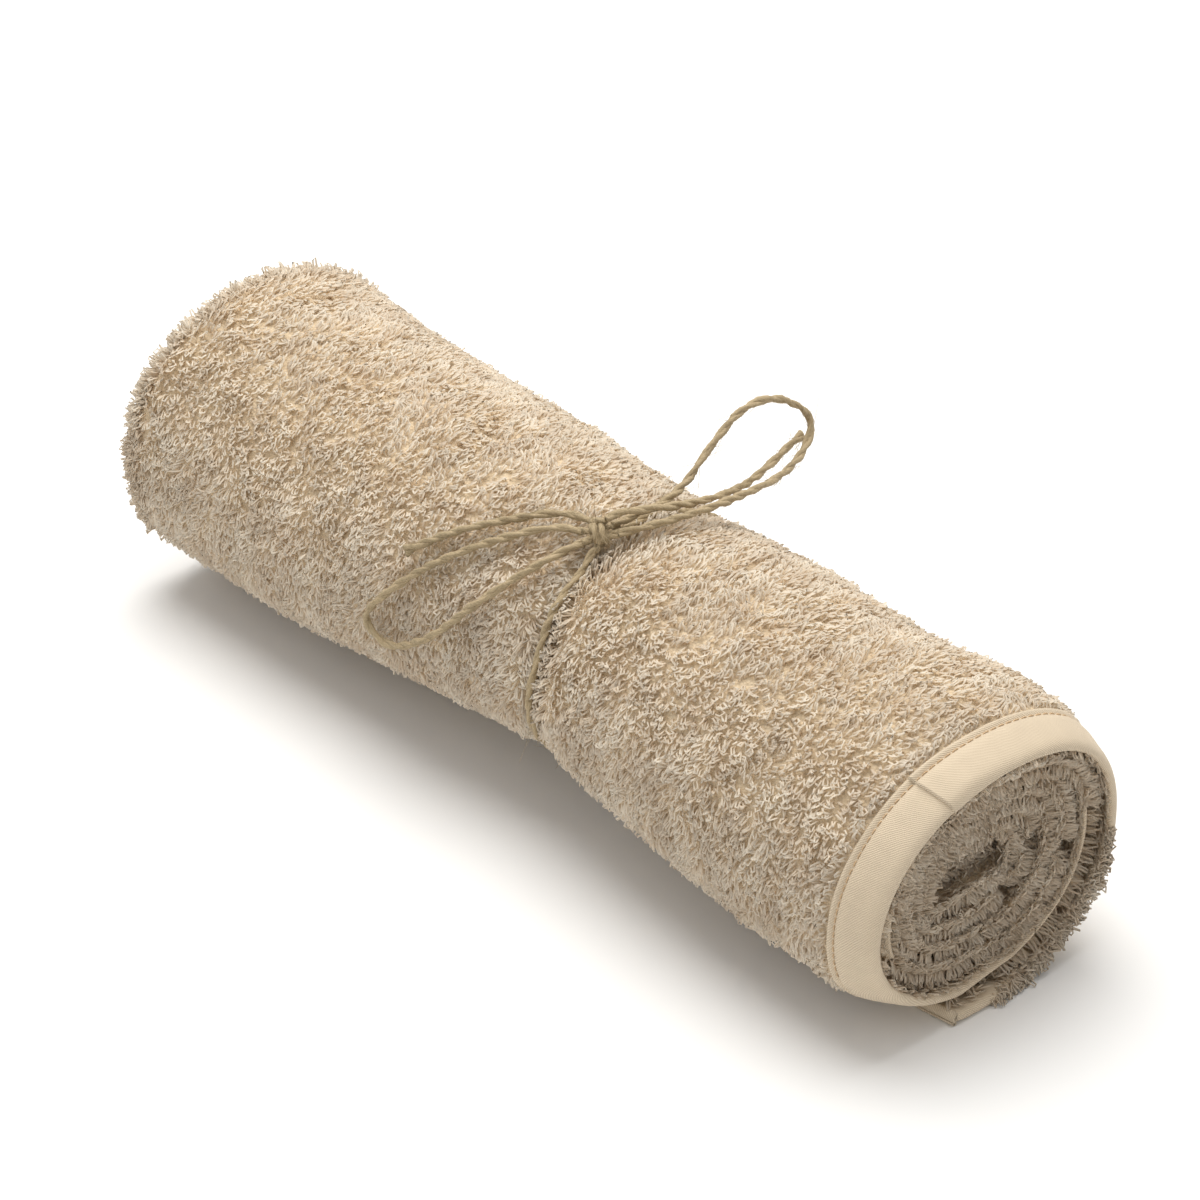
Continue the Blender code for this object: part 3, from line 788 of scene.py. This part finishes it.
def end_mesh(surface):
    """The strip that winds inwards, the groove beside it, and the hollow core."""
    turns = np.linspace(0.0, END_TURNS, round(END_TURNS * AROUND) + 1)
    across = np.array((0.0, 0.04, 0.14, 0.3, 0.5, 0.7, 0.86, 0.96, 1.0))
    rows = surface(turns[:, None], across[None, :])
    groove = surface(turns + 1.0, np.zeros(len(turns)))
    rows = np.concatenate((rows, groove[:, None, :]), axis=1)
    quads = grid_quads(rows.shape[0], rows.shape[1])
    if surface is bound_end:
        quads = quads[:, ::-1]
    rim = rows[-AROUND - 1:, -1]
    middle = rim.mean(axis=0) + np.array((np.sign(-rim[0, 0]) * 5.0 * MM, 0.0, 0.0))
    bowl = rim[None] + (middle - rim)[None] * np.array((0.0, 0.3, 0.6, 0.85, 0.98))[:, None, None]
    return joined(((rows.reshape(-1, 3), quads),
                   (bowl.reshape(-1, 3), grid_quads(len(bowl), AROUND + 1))))


def make_ground(material):
    """The cloth that the loops stand on: the outside, the step at the tail and both wound ends."""
    share, turn = np.linspace(0.0, 1.0, WALL_ROWS), np.linspace(0.0, 1.0, AROUND + 1)
    share, turn = np.meshgrid(share, turn, indexing="ij")
    skin = wall(share, turn)
    step = skin[:, :1] + (skin[:, -1:] - skin[:, :1]) * np.linspace(0.0, 1.0, 4)[None, :, None]
    parts = [(skin.reshape(-1, 3), grid_quads(WALL_ROWS, AROUND + 1)),
             (step.reshape(-1, 3), grid_quads(WALL_ROWS, 4)),
             end_mesh(bound_end), end_mesh(fold_end)]
    ground = mesh_piece("terry_ground", *joined(parts), material, "terry_cloth")
    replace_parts(ground, "terry_roll")


# The loop pile

YARN = 0.32 * MM              # half the yarn's thickness
YARN_ALONG = np.array((0.9, 1.0, 1.05, 1.05, 1.0, 0.9))
LOOPS_PER_MM2 = 0.28
UNDER_SHARE = 0.3             # how much of that density the underside gets
SCATTER = 0.45                # how far a foot may lie from its place in its row, in rows
GIRTH = 324.0 * MM            # round the outside
MEAN_RADIUS = 51.0 * MM       # of the outside
BOUND_END_LOOPS, BOUND_CORE_LOOPS = 8500, 1100
FOLD_END_LOOPS, FOLD_CORNER_LOOPS, FOLD_CORE_LOOPS = 3300, 1500, 900
FRINGE_LOOPS = 560
END_PAINTED_SHADE = 0.4               # painted shade: how much darker the loops' tone is in the bound end and its fringe, which lie in shade
HEIGHTS, REACHES = (1.4, 2.1), (2.3, 4.4)     # of the outside's loops, in mm
UPRIGHT_SHARE = 0.08          # how many of them stand up
TOP_LIE = 49.0                # their lie on top, in degrees round from the roll's length
NEAR_LIE, FAR_LIE = -129.0, 36.0     # how far it turns down the near and the far side
FLOOR = 0.15 * MM
LOOP_SHAPE = np.array((       # one loop: to the side, up and along its lean
    (-0.50, -0.25, 0.00), (-0.62, 0.52, 0.28), (-0.34, 0.96, 0.80),
    (0.34, 1.00, 0.92), (0.62, 0.50, 0.40), (0.50, -0.25, 0.06),
))


def soft_noise(place, reach, seed):
    """A smooth value from about -1 to 1 that changes over this reach."""
    rng = np.random.default_rng(seed)
    value = np.zeros(place.shape[:-1])
    for _ in range(7):
        way = rng.normal(0.0, 1.0, 3)
        way *= TAU / (reach * np.linalg.norm(way)) * rng.uniform(0.6, 1.5)
        value += np.sin(place @ way + rng.uniform(0.0, TAU))
    return value / 2.6


def loop_paths(place, out, lean, height, reach, rng, stray):
    """The yarn's way through each loop: up, over and back, narrow and a little crinkled."""
    count, points = len(place), len(LOOP_SHAPE)
    side = unit(np.cross(out, lean))
    width = rng.uniform(0.55, 1.4, count)[:, None] * MM
    curl = rng.uniform(-1.0, 1.0, count)[:, None]
    share = (np.arange(points) / (points - 1))[None, :]
    waves, starts = rng.uniform(0.9, 1.9, (count, 1)), rng.uniform(0.0, TAU, (count, 1))
    crinkle = 0.42 * MM * np.sin(TAU * share * waves + starts)
    sideways, upwards, onwards = LOOP_SHAPE.T[:, None, :]
    to_side = sideways * width + crinkle + 1.1 * MM * curl * onwards**2
    up = upwards * height[:, None]
    ahead = onwards * reach[:, None]
    paths = place[:, None, :] + side[:, None, :] * to_side[..., None]
    paths = paths + out[:, None, :] * up[..., None] + lean[:, None, :] * ahead[..., None]
    paths[:, 1:-1] += rng.normal(0.0, stray, (count, points - 2, 3))
    paths[..., 2] = np.maximum(paths[..., 2], FLOOR + YARN)
    return paths


def plant_loops(name, place, out, lean, height, reach, material, rng,
                stray=0.2 * MM, whole=False, shade=0.0):
    """Loops that stand on these places, lean along these directions and have these sizes."""
    count, points = len(place), len(LOOP_SHAPE)
    paths = loop_paths(place, out, lean, height, reach, rng, stray)
    radii = YARN * rng.uniform(0.85, 1.12, count)[:, None] * YARN_ALONG[None, :]
    if whole:
        verts, quads = tubes(paths, radii, 3, out[:, None, :] + 0.01)
        uvs = tube_uvs(count, points, 3)
    else:
        verts, quads = half_tubes(paths, radii, unit(out - 0.6 * lean)[:, None, :])
        uvs = tube_uvs(count, points, 2)
    verts[:, 2] = np.maximum(verts[:, 2], FLOOR)
    # painted shade: shade lowers the loops' tone where they lie in shade, as in the bound end and its
    # fringe
    tone = 0.5 - shade + 0.2 * rng.standard_normal(count) + 0.28 * soft_noise(place, 16.0 * MM, 5)
    tip = np.clip(LOOP_SHAPE[:, 1] * 1.25, 0.0, 1.0)
    tone = np.repeat(np.clip(tone, 0.0, 1.0), 3 * points)
    floats = {"tone": tone, "tip": np.tile(np.repeat(tip, 3), count)}
    return mesh_piece(name, verts, quads, material, "terry_cloth", floats, uvs)


def lean_ways(place, turn, along, around, off_ring, rng):
    """Which way the pile lies: across the top from side to side, down the sides, and in over the tie."""
    angle = np.degrees(angle_at(turn))
    lie = TOP_LIE + NEAR_LIE * smooth_step(112.0, 168.0, angle)
    lie = lie + FAR_LIE * (1.0 - smooth_step(0.0, 45.0, angle))
    lie = lie + 34.0 * soft_noise(place, 38.0 * MM, 11) + 30.0 * soft_noise(place, 13.0 * MM, 12)
    lie = np.radians(lie + rng.normal(0.0, 27.0, len(place)))
    lean = along * np.cos(lie)[:, None] - around * np.sin(lie)[:, None]
    beside_knot = smooth_step(122.0, 140.0, angle) + smooth_step(95.0, 60.0, angle)
    by_tie = hump(0.0, 5.0 * MM, off_ring) * beside_knot
    return unit(lean - along * (np.sign(off_ring) * 3.0 * by_tie)[:, None])


def outside_spots(first_x, last_x, rng):
    """Loop feet on the outside, in loose rows. The underside, which is lain on, gets fewer."""
    pitch = MM / math.sqrt(LOOPS_PER_MM2)
    rows, around = round((last_x - first_x) / pitch), round(GIRTH / pitch)
    row, column = np.meshgrid(np.arange(rows), np.arange(around), indexing="ij")
    row, column = row.ravel(), column.ravel()
    x = first_x + (last_x - first_x) * (row + 0.5 + rng.uniform(-SCATTER, SCATTER, row.size)) / rows
    turn = (column + 0.5 * (row % 2) + rng.uniform(-SCATTER, SCATTER, row.size)) / around
    turn = 0.012 + 0.984 * turn
    angle = np.degrees(angle_at(turn))
    under = smooth_step(-60.0, -76.0, angle) + smooth_step(228.0, 240.0, angle)
    kept = rng.random(row.size) > under * (1.0 - UNDER_SHARE)
    off_ring = x - ring_x(np.radians(angle))
    kept &= np.abs(off_ring) > 0.6 * MM
    return x[kept], turn[kept], off_ring[kept]


def outside_feet(x, turn):
    """The ground, with soft dips and swells in it."""
    place = outside(x, turn)
    swell = 0.4 * np.clip(soft_noise(place, 30.0 * MM, 31), -0.5, 1.2)
    swell = swell + 0.2 * np.clip(soft_noise(place, 11.0 * MM, 32), -0.5, 1.2)
    return on_roll(x, turn, wound(turn) + ground_inset(x, turn) - 0.2 * MM - swell * MM)


def make_outside_pile(material, rng):
    """The pile on the outside, in lengths along the roll: longer at the fold, by the tie and in a tuft."""
    cuts = np.linspace(FOLD_X + 2.0 * MM, BAND_X - 0.2 * MM, 6)
    for i, (first_x, last_x) in enumerate(zip(cuts, cuts[1:])):
        x, turn, off_ring = outside_spots(first_x, last_x, rng)
        place, along, around, out = skin_frame(outside_feet, x, turn, (1.5 * MM, 0.005))
        lean = lean_ways(place, turn, along, around, off_ring, rng)
        upright = rng.random(len(place)) < UPRIGHT_SHARE
        by_tie = hump(0.0, 6.0 * MM, off_ring)
        tuft = hump(-4.0 * MM, 4.5 * MM, off_ring) * hump(148.0, 26.0, np.degrees(angle_at(turn)))
        by_fold = smooth_step(FOLD_X + 16.0 * MM, FOLD_X + 2.0 * MM, x) * upper(turn)
        by_band = smooth_step(BAND_X - 5.0 * MM, BAND_X - 0.5 * MM, x)
        lean = unit(lean - 1.6 * along * by_band[:, None])
        height = rng.uniform(*HEIGHTS, len(place)) + 0.8 * upright
        height = height + 3.6 * by_tie + 2.2 * tuft + by_fold - 0.4 * by_band
        reach = rng.uniform(*REACHES, len(place)) * np.where(upright, 0.5, 1.0)
        reach = reach + 1.6 * by_tie + 1.2 * tuft - by_band
        plant_loops(f"outside_pile_{i + 1}", place, out, lean, height * MM, reach * MM, material, rng)


def end_spots(count, rng):
    """Random places along the winding, as many for each millimetre of cloth."""
    turn = rng.uniform(0.0, END_TURNS, 2 * count)
    kept = rng.random(2 * count) < 1.0 - turn * PLY / MEAN_RADIUS
    return turn[kept][:count], rng.uniform(0.0, 1.0, kept.sum())[:count]


def end_middle(x):
    """The middle of the roll's section, at the height of its axis."""
    return np.stack((x, np.zeros_like(x), along_roll(x, HALF_HEIGHT) + along_roll(x, UNDERSIDE)), axis=-1)


def with_core(loops, surface, outwards, count, highest, rng):
    """An end's loops and some more in the hollow at its core. highest is in mm."""
    rim = surface(END_TURNS - 1.0 + rng.random(count), np.ones(count))
    middle = rim.mean(axis=0) - 3.0 * MM * outwards * FORWARD
    place = rim + (middle - rim) * rng.random(count)[:, None] ** 0.8
    stand = np.tile(outwards * FORWARD, (count, 1))
    lean = unit(rng.normal(0.0, 1.0, (count, 3)) * np.array((0.2, 1.0, 1.0)))
    height = rng.uniform(1.5, highest, count) * MM
    reach = rng.uniform(2.0, highest + 0.5, count) * MM
    return [np.concatenate(pair) for pair in zip(loops, (place, stand, lean, height, reach))]


def make_bound_end_pile(material, rng):
    """The pile between the turns of the bound end, which curls over their edges towards the front."""
    turn, across = end_spots(BOUND_END_LOOPS, rng)
    outermost = (turn < 1.0) & (across < 0.80)
    covered = (turn > 1.0) & (np.sin(angle_at(turn)) > 0.25)
    on_tape = (turn < TAPED_TURNS) & (across > 0.2) & (across < 0.8) & ~covered
    kept = ~(outermost | on_tape)
    turn, across = turn[kept], across[kept]
    place, around, _, _ = skin_frame(bound_end, turn, across, (0.002, 0.02))
    radial = unit(place - end_middle(place[:, 0]))
    facing = np.where(across < 0.5, 1.0, -1.0)[:, None]
    on_flank = (np.abs(across - 0.5) > 0.3)[:, None]
    stand = unit(np.where(on_flank, radial * facing + 0.5 * FORWARD, FORWARD))
    over = radial * rng.choice((-1.0, 1.0, 1.0), len(place))[:, None]
    lean = np.where(on_flank, FORWARD + 0.35 * radial * facing, over)
    lean = lean + around * rng.normal(0.0, 0.3, len(place))[:, None]
    lean = unit(lean + 0.15 * rng.normal(0.0, 1.0, place.shape))
    height = rng.uniform(1.5, 2.7, len(place)) * MM
    reach = rng.uniform(2.6, 5.0, len(place)) * MM
    place = place + FORWARD * (1.3 * MM * (covered[kept] & (turn < TAPED_TURNS)))[:, None]
    loops = with_core((place, stand, lean, height, reach), bound_end, 1.0, BOUND_CORE_LOOPS, 4.0, rng)
    # painted shade: the bound end's loops get a darker tone because the end lies in shade
    plant_loops("bound_end_pile", *loops, material, rng, shade=END_PAINTED_SHADE)


def make_fringe(material, rng):
    """Loops of the inner face that curl out over the bound edge, low on the +Y side."""
    turn = 0.052 + 0.25 * rng.random(FRINGE_LOOPS)
    inset = rng.uniform(3.2, 5.4, len(turn)) * MM
    back = rng.uniform(-0.2, 1.6, len(turn)) * MM

    def by_edge(x_back, at):
        return on_roll(rim_x(at) - x_back, at, inset)

    place, _, around, _ = skin_frame(by_edge, back, turn, (0.3 * MM, 0.002))
    radial = unit(place - end_middle(place[:, 0]))
    curled = rng.normal(0.0, 0.85, len(turn))[:, None]
    lean = unit(radial + around * curled + FORWARD * rng.uniform(-0.5, 0.5, len(turn))[:, None])
    stand = unit(FORWARD + 0.25 * rng.normal(0.0, 1.0, place.shape))
    fading = 1.0 - 0.7 * smooth_step(0.2, 0.3, turn)
    height = rng.uniform(0.7, 2.4, len(turn)) * fading * MM
    reach = rng.uniform(2.0, 4.6, len(turn)) * fading * MM
    # painted shade: the fringe's loops get a darker tone because they lie in shade
    plant_loops("edge_fringe", place, stand, lean, height, reach, material, rng,
                stray=0.32 * MM, whole=True, shade=END_PAINTED_SHADE)


def make_fold_end_pile(material, rng):
    """The pile over the folded end, thickest and longest round its outer corner."""
    turn, across = end_spots(FOLD_END_LOOPS, rng)
    turn = np.concatenate((turn, rng.random(FOLD_CORNER_LOOPS)))
    across = np.concatenate((across, 0.35 * rng.random(FOLD_CORNER_LOOPS)))
    place, around, _, out = skin_frame(fold_end, turn, across, (0.002, 0.02))
    lean = unit(around * rng.normal(0.0, 0.6, len(place))[:, None] + rng.normal(0.0, 0.45, place.shape)
                + np.array((-0.6, 0.0, -0.3)))
    height = (rng.uniform(1.5, 2.6, len(place)) + 0.6 * (turn < 1.0) * upper(turn)) * MM
    reach = rng.uniform(1.8, 3.6, len(place)) * MM
    loops = with_core((place, out, lean, height, reach), fold_end, -1.0, FOLD_CORE_LOOPS, 3.5, rng)
    plant_loops("fold_end_pile", *loops, material, rng)


# The binding tape

TAPE_THICK = 0.8 * MM
EDGE_THICK = 3.7 * MM         # over the tape and the cloth in it, on the outermost turn
INNER_EDGE_THICK = 2.2 * MM
SEAM_SHARE = 0.81             # where the seam runs, from the edge's lip out to the tape's far side
LAP_TURN = 0.621              # where the tape's end laps over its start
LAP_LIFT = 1.1 * MM
LAP_SLANT = 0.004             # turns between the lap's two ends
SEAM_ENDS = (0.012, 0.86)     # of the edge's seam, in turns
EDGE_SEAM, TAIL_SEAM = 270.3 * MM, 325.0 * MM     # how long the two seams are
STITCH, STITCH_PITCH = 2.1 * MM, 2.9 * MM
THREAD = 0.2 * MM

# The tape across: share of the outside width, or mm back from the edge, mm inset, share of the thickness
TAPE_ACROSS = np.array((
    (1.00, 0.0, 0.20, 0.0), (0.95, 0.0, -0.36, 0.0), (0.89, 0.0, -0.26, 0.0), (0.84, 0.0, 0.30, 0.0),
    (SEAM_SHARE, 0.0, 0.52, 0.0), (0.78, 0.0, 0.28, 0.0), (0.71, 0.0, -0.22, 0.0), (0.50, 0.0, -0.34, 0.0),
    (0.30, 0.0, -0.34, 0.0), (0.14, 0.0, -0.30, 0.0), (0.0, 3.2, -0.22, 0.0), (0.0, 2.0, -0.08, 0.02),
    (0.0, 1.1, 0.0, 0.10), (0.0, 0.4, 0.0, 0.26), (0.0, 0.05, 0.0, 0.5), (0.0, 0.4, 0.0, 0.76),
    (0.0, 1.2, 0.0, 0.93), (0.0, 2.1, 0.0, 1.0),
))


def both_faces(run, inset, least=-math.inf):
    """Rows of points over the tape's outer face, with those of its inner face added behind them."""
    way = unit(np.stack((np.gradient(run, axis=1), np.gradient(inset, axis=1)), axis=-1))
    inner_run = np.maximum(run + way[..., 1] * TAPE_THICK, least)
    inner_inset = inset - way[..., 0] * TAPE_THICK
    run = np.concatenate((run, inner_run[:, ::-1]), axis=1)
    return run, np.concatenate((inset, inner_inset[:, ::-1]), axis=1)


def tape_section(turn):
    """Rows of points of the edge tape, closed round its two faces. turn is a column of turns."""
    narrowed = smooth_step(0.87, 0.97, turn)
    wide = (rim_x(turn) - BAND_X) * (1.0 - narrowed) + (TAPE_LIP + 0.8 * MM) * narrowed
    lip = TAPE_LIP + (CORNER_LIP - TAPE_LIP) * (1.0 - smooth_step(*CORNER_LIP_ENDS, turn))
    sunk = smooth_step(*SINKING, turn)
    outer = TAPE_SINK + 0.9 * MM * sunk
    thick = EDGE_THICK + (INNER_EDGE_THICK - EDGE_THICK) * sunk
    share, by_edge, relief, thickness = TAPE_ACROSS.T[:, None, :]
    back = np.where(share > 0.0, TAPE_LIP + (wide - TAPE_LIP) * share, by_edge * MM)
    inset = outer + relief * MM * (1.0 - narrowed) + thick * thickness
    back = np.concatenate((back, lip), axis=1)
    inset = np.concatenate((inset, outer + thick), axis=1)
    return both_faces(back, inset, TAPE_THICK)


def tape_places(turn, back, inset):
    """The tape's points on the roll, with its lap, its puckers and its soft waves."""
    near_lap = hump(LAP_TURN, 0.05, turn)
    at = turn + LAP_SLANT * near_lap * (back - 5.0 * MM) / TAPE_WIDTH
    lift = LAP_LIFT * smooth_step(LAP_TURN - 0.075, LAP_TURN - 0.02, turn) * (turn <= LAP_TURN)
    outside_part = smooth_step(3.0 * MM, 1.0 * MM, inset)
    wave = 0.16 * np.sin(TAU * turn * 61.0 + back * 260.0) + 0.12 * np.sin(TAU * turn * 37.0 + 1.0)
    wave = wave * hump(0.0, 4.0 * MM, back - 9.0 * MM) + 0.22 * np.sin(TAU * turn * 9.0 + back * 210.0)
    eased = inset - (lift + 0.6 * wave * MM) * outside_part
    return on_roll(rim_x(at) - back + 0.35 * lift, at, wound(at) + eased)


def tape_turns():
    """Where the tape's rows lie, closer together by the lap."""
    plain = np.linspace(0.0, TAPED_TURNS, 330)
    by_lap = LAP_TURN + np.array((-0.02, -0.012, -0.006, -0.002, 0.0, 0.0006, 0.004, 0.01))
    return np.sort(np.concatenate((plain, by_lap)))[:, None]


def sweep_uvs(lengthwise, across):
    """A map in metres along and across a swept piece that is closed across."""
    columns = across.shape[1]
    v = np.concatenate((across, across[:, -1:] + 0.001), axis=1)
    u = np.repeat(lengthwise[:, None], columns + 1, axis=1)
    grid = np.stack((u, v), axis=-1)
    corners = (grid[:-1, :-1], grid[:-1, 1:], grid[1:, 1:], grid[1:, :-1])
    return np.stack(corners, axis=2).reshape(-1, 2)


def swept_tape(name, rows, material):
    """A tape from rows of points that are closed across, with its two ends filled."""
    count, columns, _ = rows.shape
    middle = 0.5 * (rows[:, :columns // 2] + rows[:, columns // 2:][:, ::-1])
    lengthwise = run_lengths(middle[:, 8])
    steps = np.linalg.norm(np.diff(rows, axis=1), axis=2)
    across = np.concatenate((np.zeros((count, 1)), np.cumsum(steps, axis=1)), axis=1)
    folded = np.concatenate((middle, middle[:, ::-1]), axis=1)
    ends = rows + (folded - rows) * 0.9
    rows = np.concatenate((ends[:1], rows, ends[-1:]))
    lengthwise = np.concatenate((lengthwise[:1], lengthwise, lengthwise[-1:]))
    across = np.concatenate((across[:1], across, across[-1:]))
    quads = grid_quads(len(rows), columns, closed=True)
    return mesh_piece(name, rows.reshape(-1, 3), quads, material, "binding_tape",
                      uvs=sweep_uvs(lengthwise, across), uv_name="along_tape")


def stitch_paths(ends_from, ends_to, out):
    """Stitches between pairs of places, each a short arch of thread that dips into the cloth."""
    share = np.array((0.0, 0.12, 0.5, 0.88, 1.0))
    rise = np.array((-0.35, 0.08, 0.2, 0.08, -0.35)) * MM
    paths = ends_from[:, None, :] + (ends_to - ends_from)[:, None, :] * share[None, :, None]
    return paths + out[:, None, :] * rise[None, :, None]


def make_stitches(name, surface, start, end, length, material):
    """A seam along a surface that takes a share from 0 to 1."""
    count = round(length / STITCH_PITCH)
    first = (np.arange(count) + 0.1) / count
    second = first + STITCH / STITCH_PITCH / count
    first, second = start + (end - start) * first, start + (end - start) * second
    here, out = surface(first)
    there, _ = surface(second)
    paths = stitch_paths(here, there, out)
    radii = np.full(paths.shape[:2], THREAD)
    verts, quads = tubes(paths, radii, 5, out[:, None, :] + 0.01)
    return mesh_piece(name, verts, quads, material, "binding_tape")


def make_edge_tape(material, thread):
    turn = tape_turns()
    back, inset = tape_section(turn)
    tape = swept_tape("edge_tape", tape_places(turn, back, inset), material)
    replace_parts(tape, "edge_binding")

    def seam(at):
        at = at[:, None]
        back = TAPE_LIP + (rim_x(at) - BAND_X - TAPE_LIP) * SEAM_SHARE
        place = tape_places(at, back, np.full_like(at, TAPE_SINK + 0.3 * MM))[:, 0]
        above = tape_places(at, back, np.full_like(at, TAPE_SINK - 0.7 * MM))[:, 0]
        return place, unit(above - place)

    make_stitches("edge_seam", seam, *SEAM_ENDS, EDGE_SEAM, thread)


TAIL_LEG = 12.5 * MM
TAIL_TOP = PLY - 0.9 * MM
TAIL_SEAM_SHARE = 0.76

# The tail's tape across: share of its leg, or if below 0 mm past the edge, and mm inset
TAIL_ACROSS = np.array((
    (1.0, 1.35), (0.93, 0.95), (0.84, 1.1), (0.76, 1.45), (0.69, 1.1), (0.55, 0.95), (0.35, 0.95),
    (0.15, 1.0), (0.0, 1.2), (-1.0, 1.6), (-1.35, 2.4), (-1.35, 3.6), (-1.0, 4.8), (-0.4, 5.4),
))


def tail_leg(x):
    """How far the tape reaches in under the roll, which is nowhere once it meets the band."""
    return TAIL_LEG + (-0.2 * MM - TAIL_LEG) * smooth_step(BAND_X - 2.0 * MM, BAND_X - 0.6 * MM, x)


def tail_places(x, run, inset):
    """Places on the tail's tape. run is the distance from the tail's edge, along the underside."""
    return on_roll(x, run / (TAU * MEAN_RADIUS), inset)


def make_tail_tape(material, thread):
    """The tape along the tail's edge, which the roll lies on."""
    along = np.linspace(FOLD_X + 8.0 * MM, BAND_X - 3.0 * MM, 90)
    by_band = np.linspace(BAND_X - 2.0 * MM, BAND_X, 6)
    under = BAND_X + np.array((2.0, 6.0, 11.0, 16.5)) * MM
    x = np.concatenate((along, by_band, under))[:, None]
    share, depth = TAIL_ACROSS.T[:, None, :]
    run = np.where(share > 0.0, tail_leg(x) * share, share * MM)
    inset = np.repeat(depth * MM, len(x), axis=0)
    under_band = smooth_step(BAND_X - 1.0 * MM, BAND_X + 1.0 * MM, x)
    inset = np.minimum(inset, TAIL_TOP + (5.0 * MM - TAIL_TOP) * under_band)
    run, inset = both_faces(run, inset)
    ripple = 0.12 * MM * np.sin(x * 1450.0) * hump(0.0, 4.0 * MM, run - 9.0 * MM)
    tape = swept_tape("tail_tape", tail_places(x, run, inset + ripple), material)
    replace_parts(tape, "tail_binding")

    def seam(at):
        here = tail_places(at, np.full_like(at, TAIL_SEAM_SHARE * TAIL_LEG), TAPE_SINK + 0.35 * MM)
        return here, np.tile(np.array((0.0, -0.2, -1.0)), (len(at), 1))

    make_stitches("tail_seam", seam, FOLD_X + 9.0 * MM, BAND_X - 4.0 * MM, TAIL_SEAM, thread)


# The floor, the light and the air

FLOOR_REACH = 3.0
LAMP_AIM = Vector((0.0, 0.0, 0.04))
AIR_COLOUR = (1.0, 0.985, 0.965, 1.0)
AIR_STRENGTH = 0.54


def make_stage(material):
    mesh = bpy.data.meshes.new("floor")
    ways = ((-1.0, -1.0), (1.0, -1.0), (1.0, 1.0), (-1.0, 1.0))
    mesh.from_pydata([(FLOOR_REACH * x, FLOOR_REACH * y, 0.0) for x, y in ways], [], [(0, 1, 2, 3)])
    mesh.materials.append(material)
    floor = put_in_scene("floor", mesh)


def add_light(name, place, size, power, colour):
    data = bpy.data.lights.new(name, "AREA")
    data.shape = "DISK"
    data.size = size
    data.energy = power
    data.color = colour
    light = put_in_scene(name, data)
    light.location = place
    light.rotation_euler = (LAMP_AIM - Vector(place)).to_track_quat("-Z", "Y").to_euler()


def make_light():
    """Soft light from high behind the towel, with a pale room round it."""
    add_light("high_soft", (-0.4, 0.25, 1.65), 1.8, 35.0, (1.0, 0.985, 0.96))
    add_light("side_fill", (-0.9, -1.3, 0.9), 1.2, 2.0, (0.98, 0.985, 1.0))
    world = bpy.data.worlds.new("pale_room")
    world.use_nodes = True
    air = world.node_tree.nodes["Background"]
    air.inputs["Color"].default_value = AIR_COLOUR
    air.inputs["Strength"].default_value = AIR_STRENGTH
    bpy.context.scene.world = world
    bpy.context.scene.view_settings.view_transform = "Standard"


def main():
    make_camera()
    dye = mottle_group()
    rng = np.random.default_rng(20)
    make_tie(jute_material(dye), rng)
    make_ground(ground_material(dye))
    tape, thread, loops = tape_material(dye), thread_material(dye), pile_material(dye)
    make_edge_tape(tape, thread)
    make_tail_tape(tape, thread)
    make_outside_pile(loops, rng)
    make_bound_end_pile(loops, rng)
    make_fringe(loops, rng)
    make_fold_end_pile(loops, rng)
    make_stage(floor_material())
    make_light()


main()

bpy.context.view_layer.update()
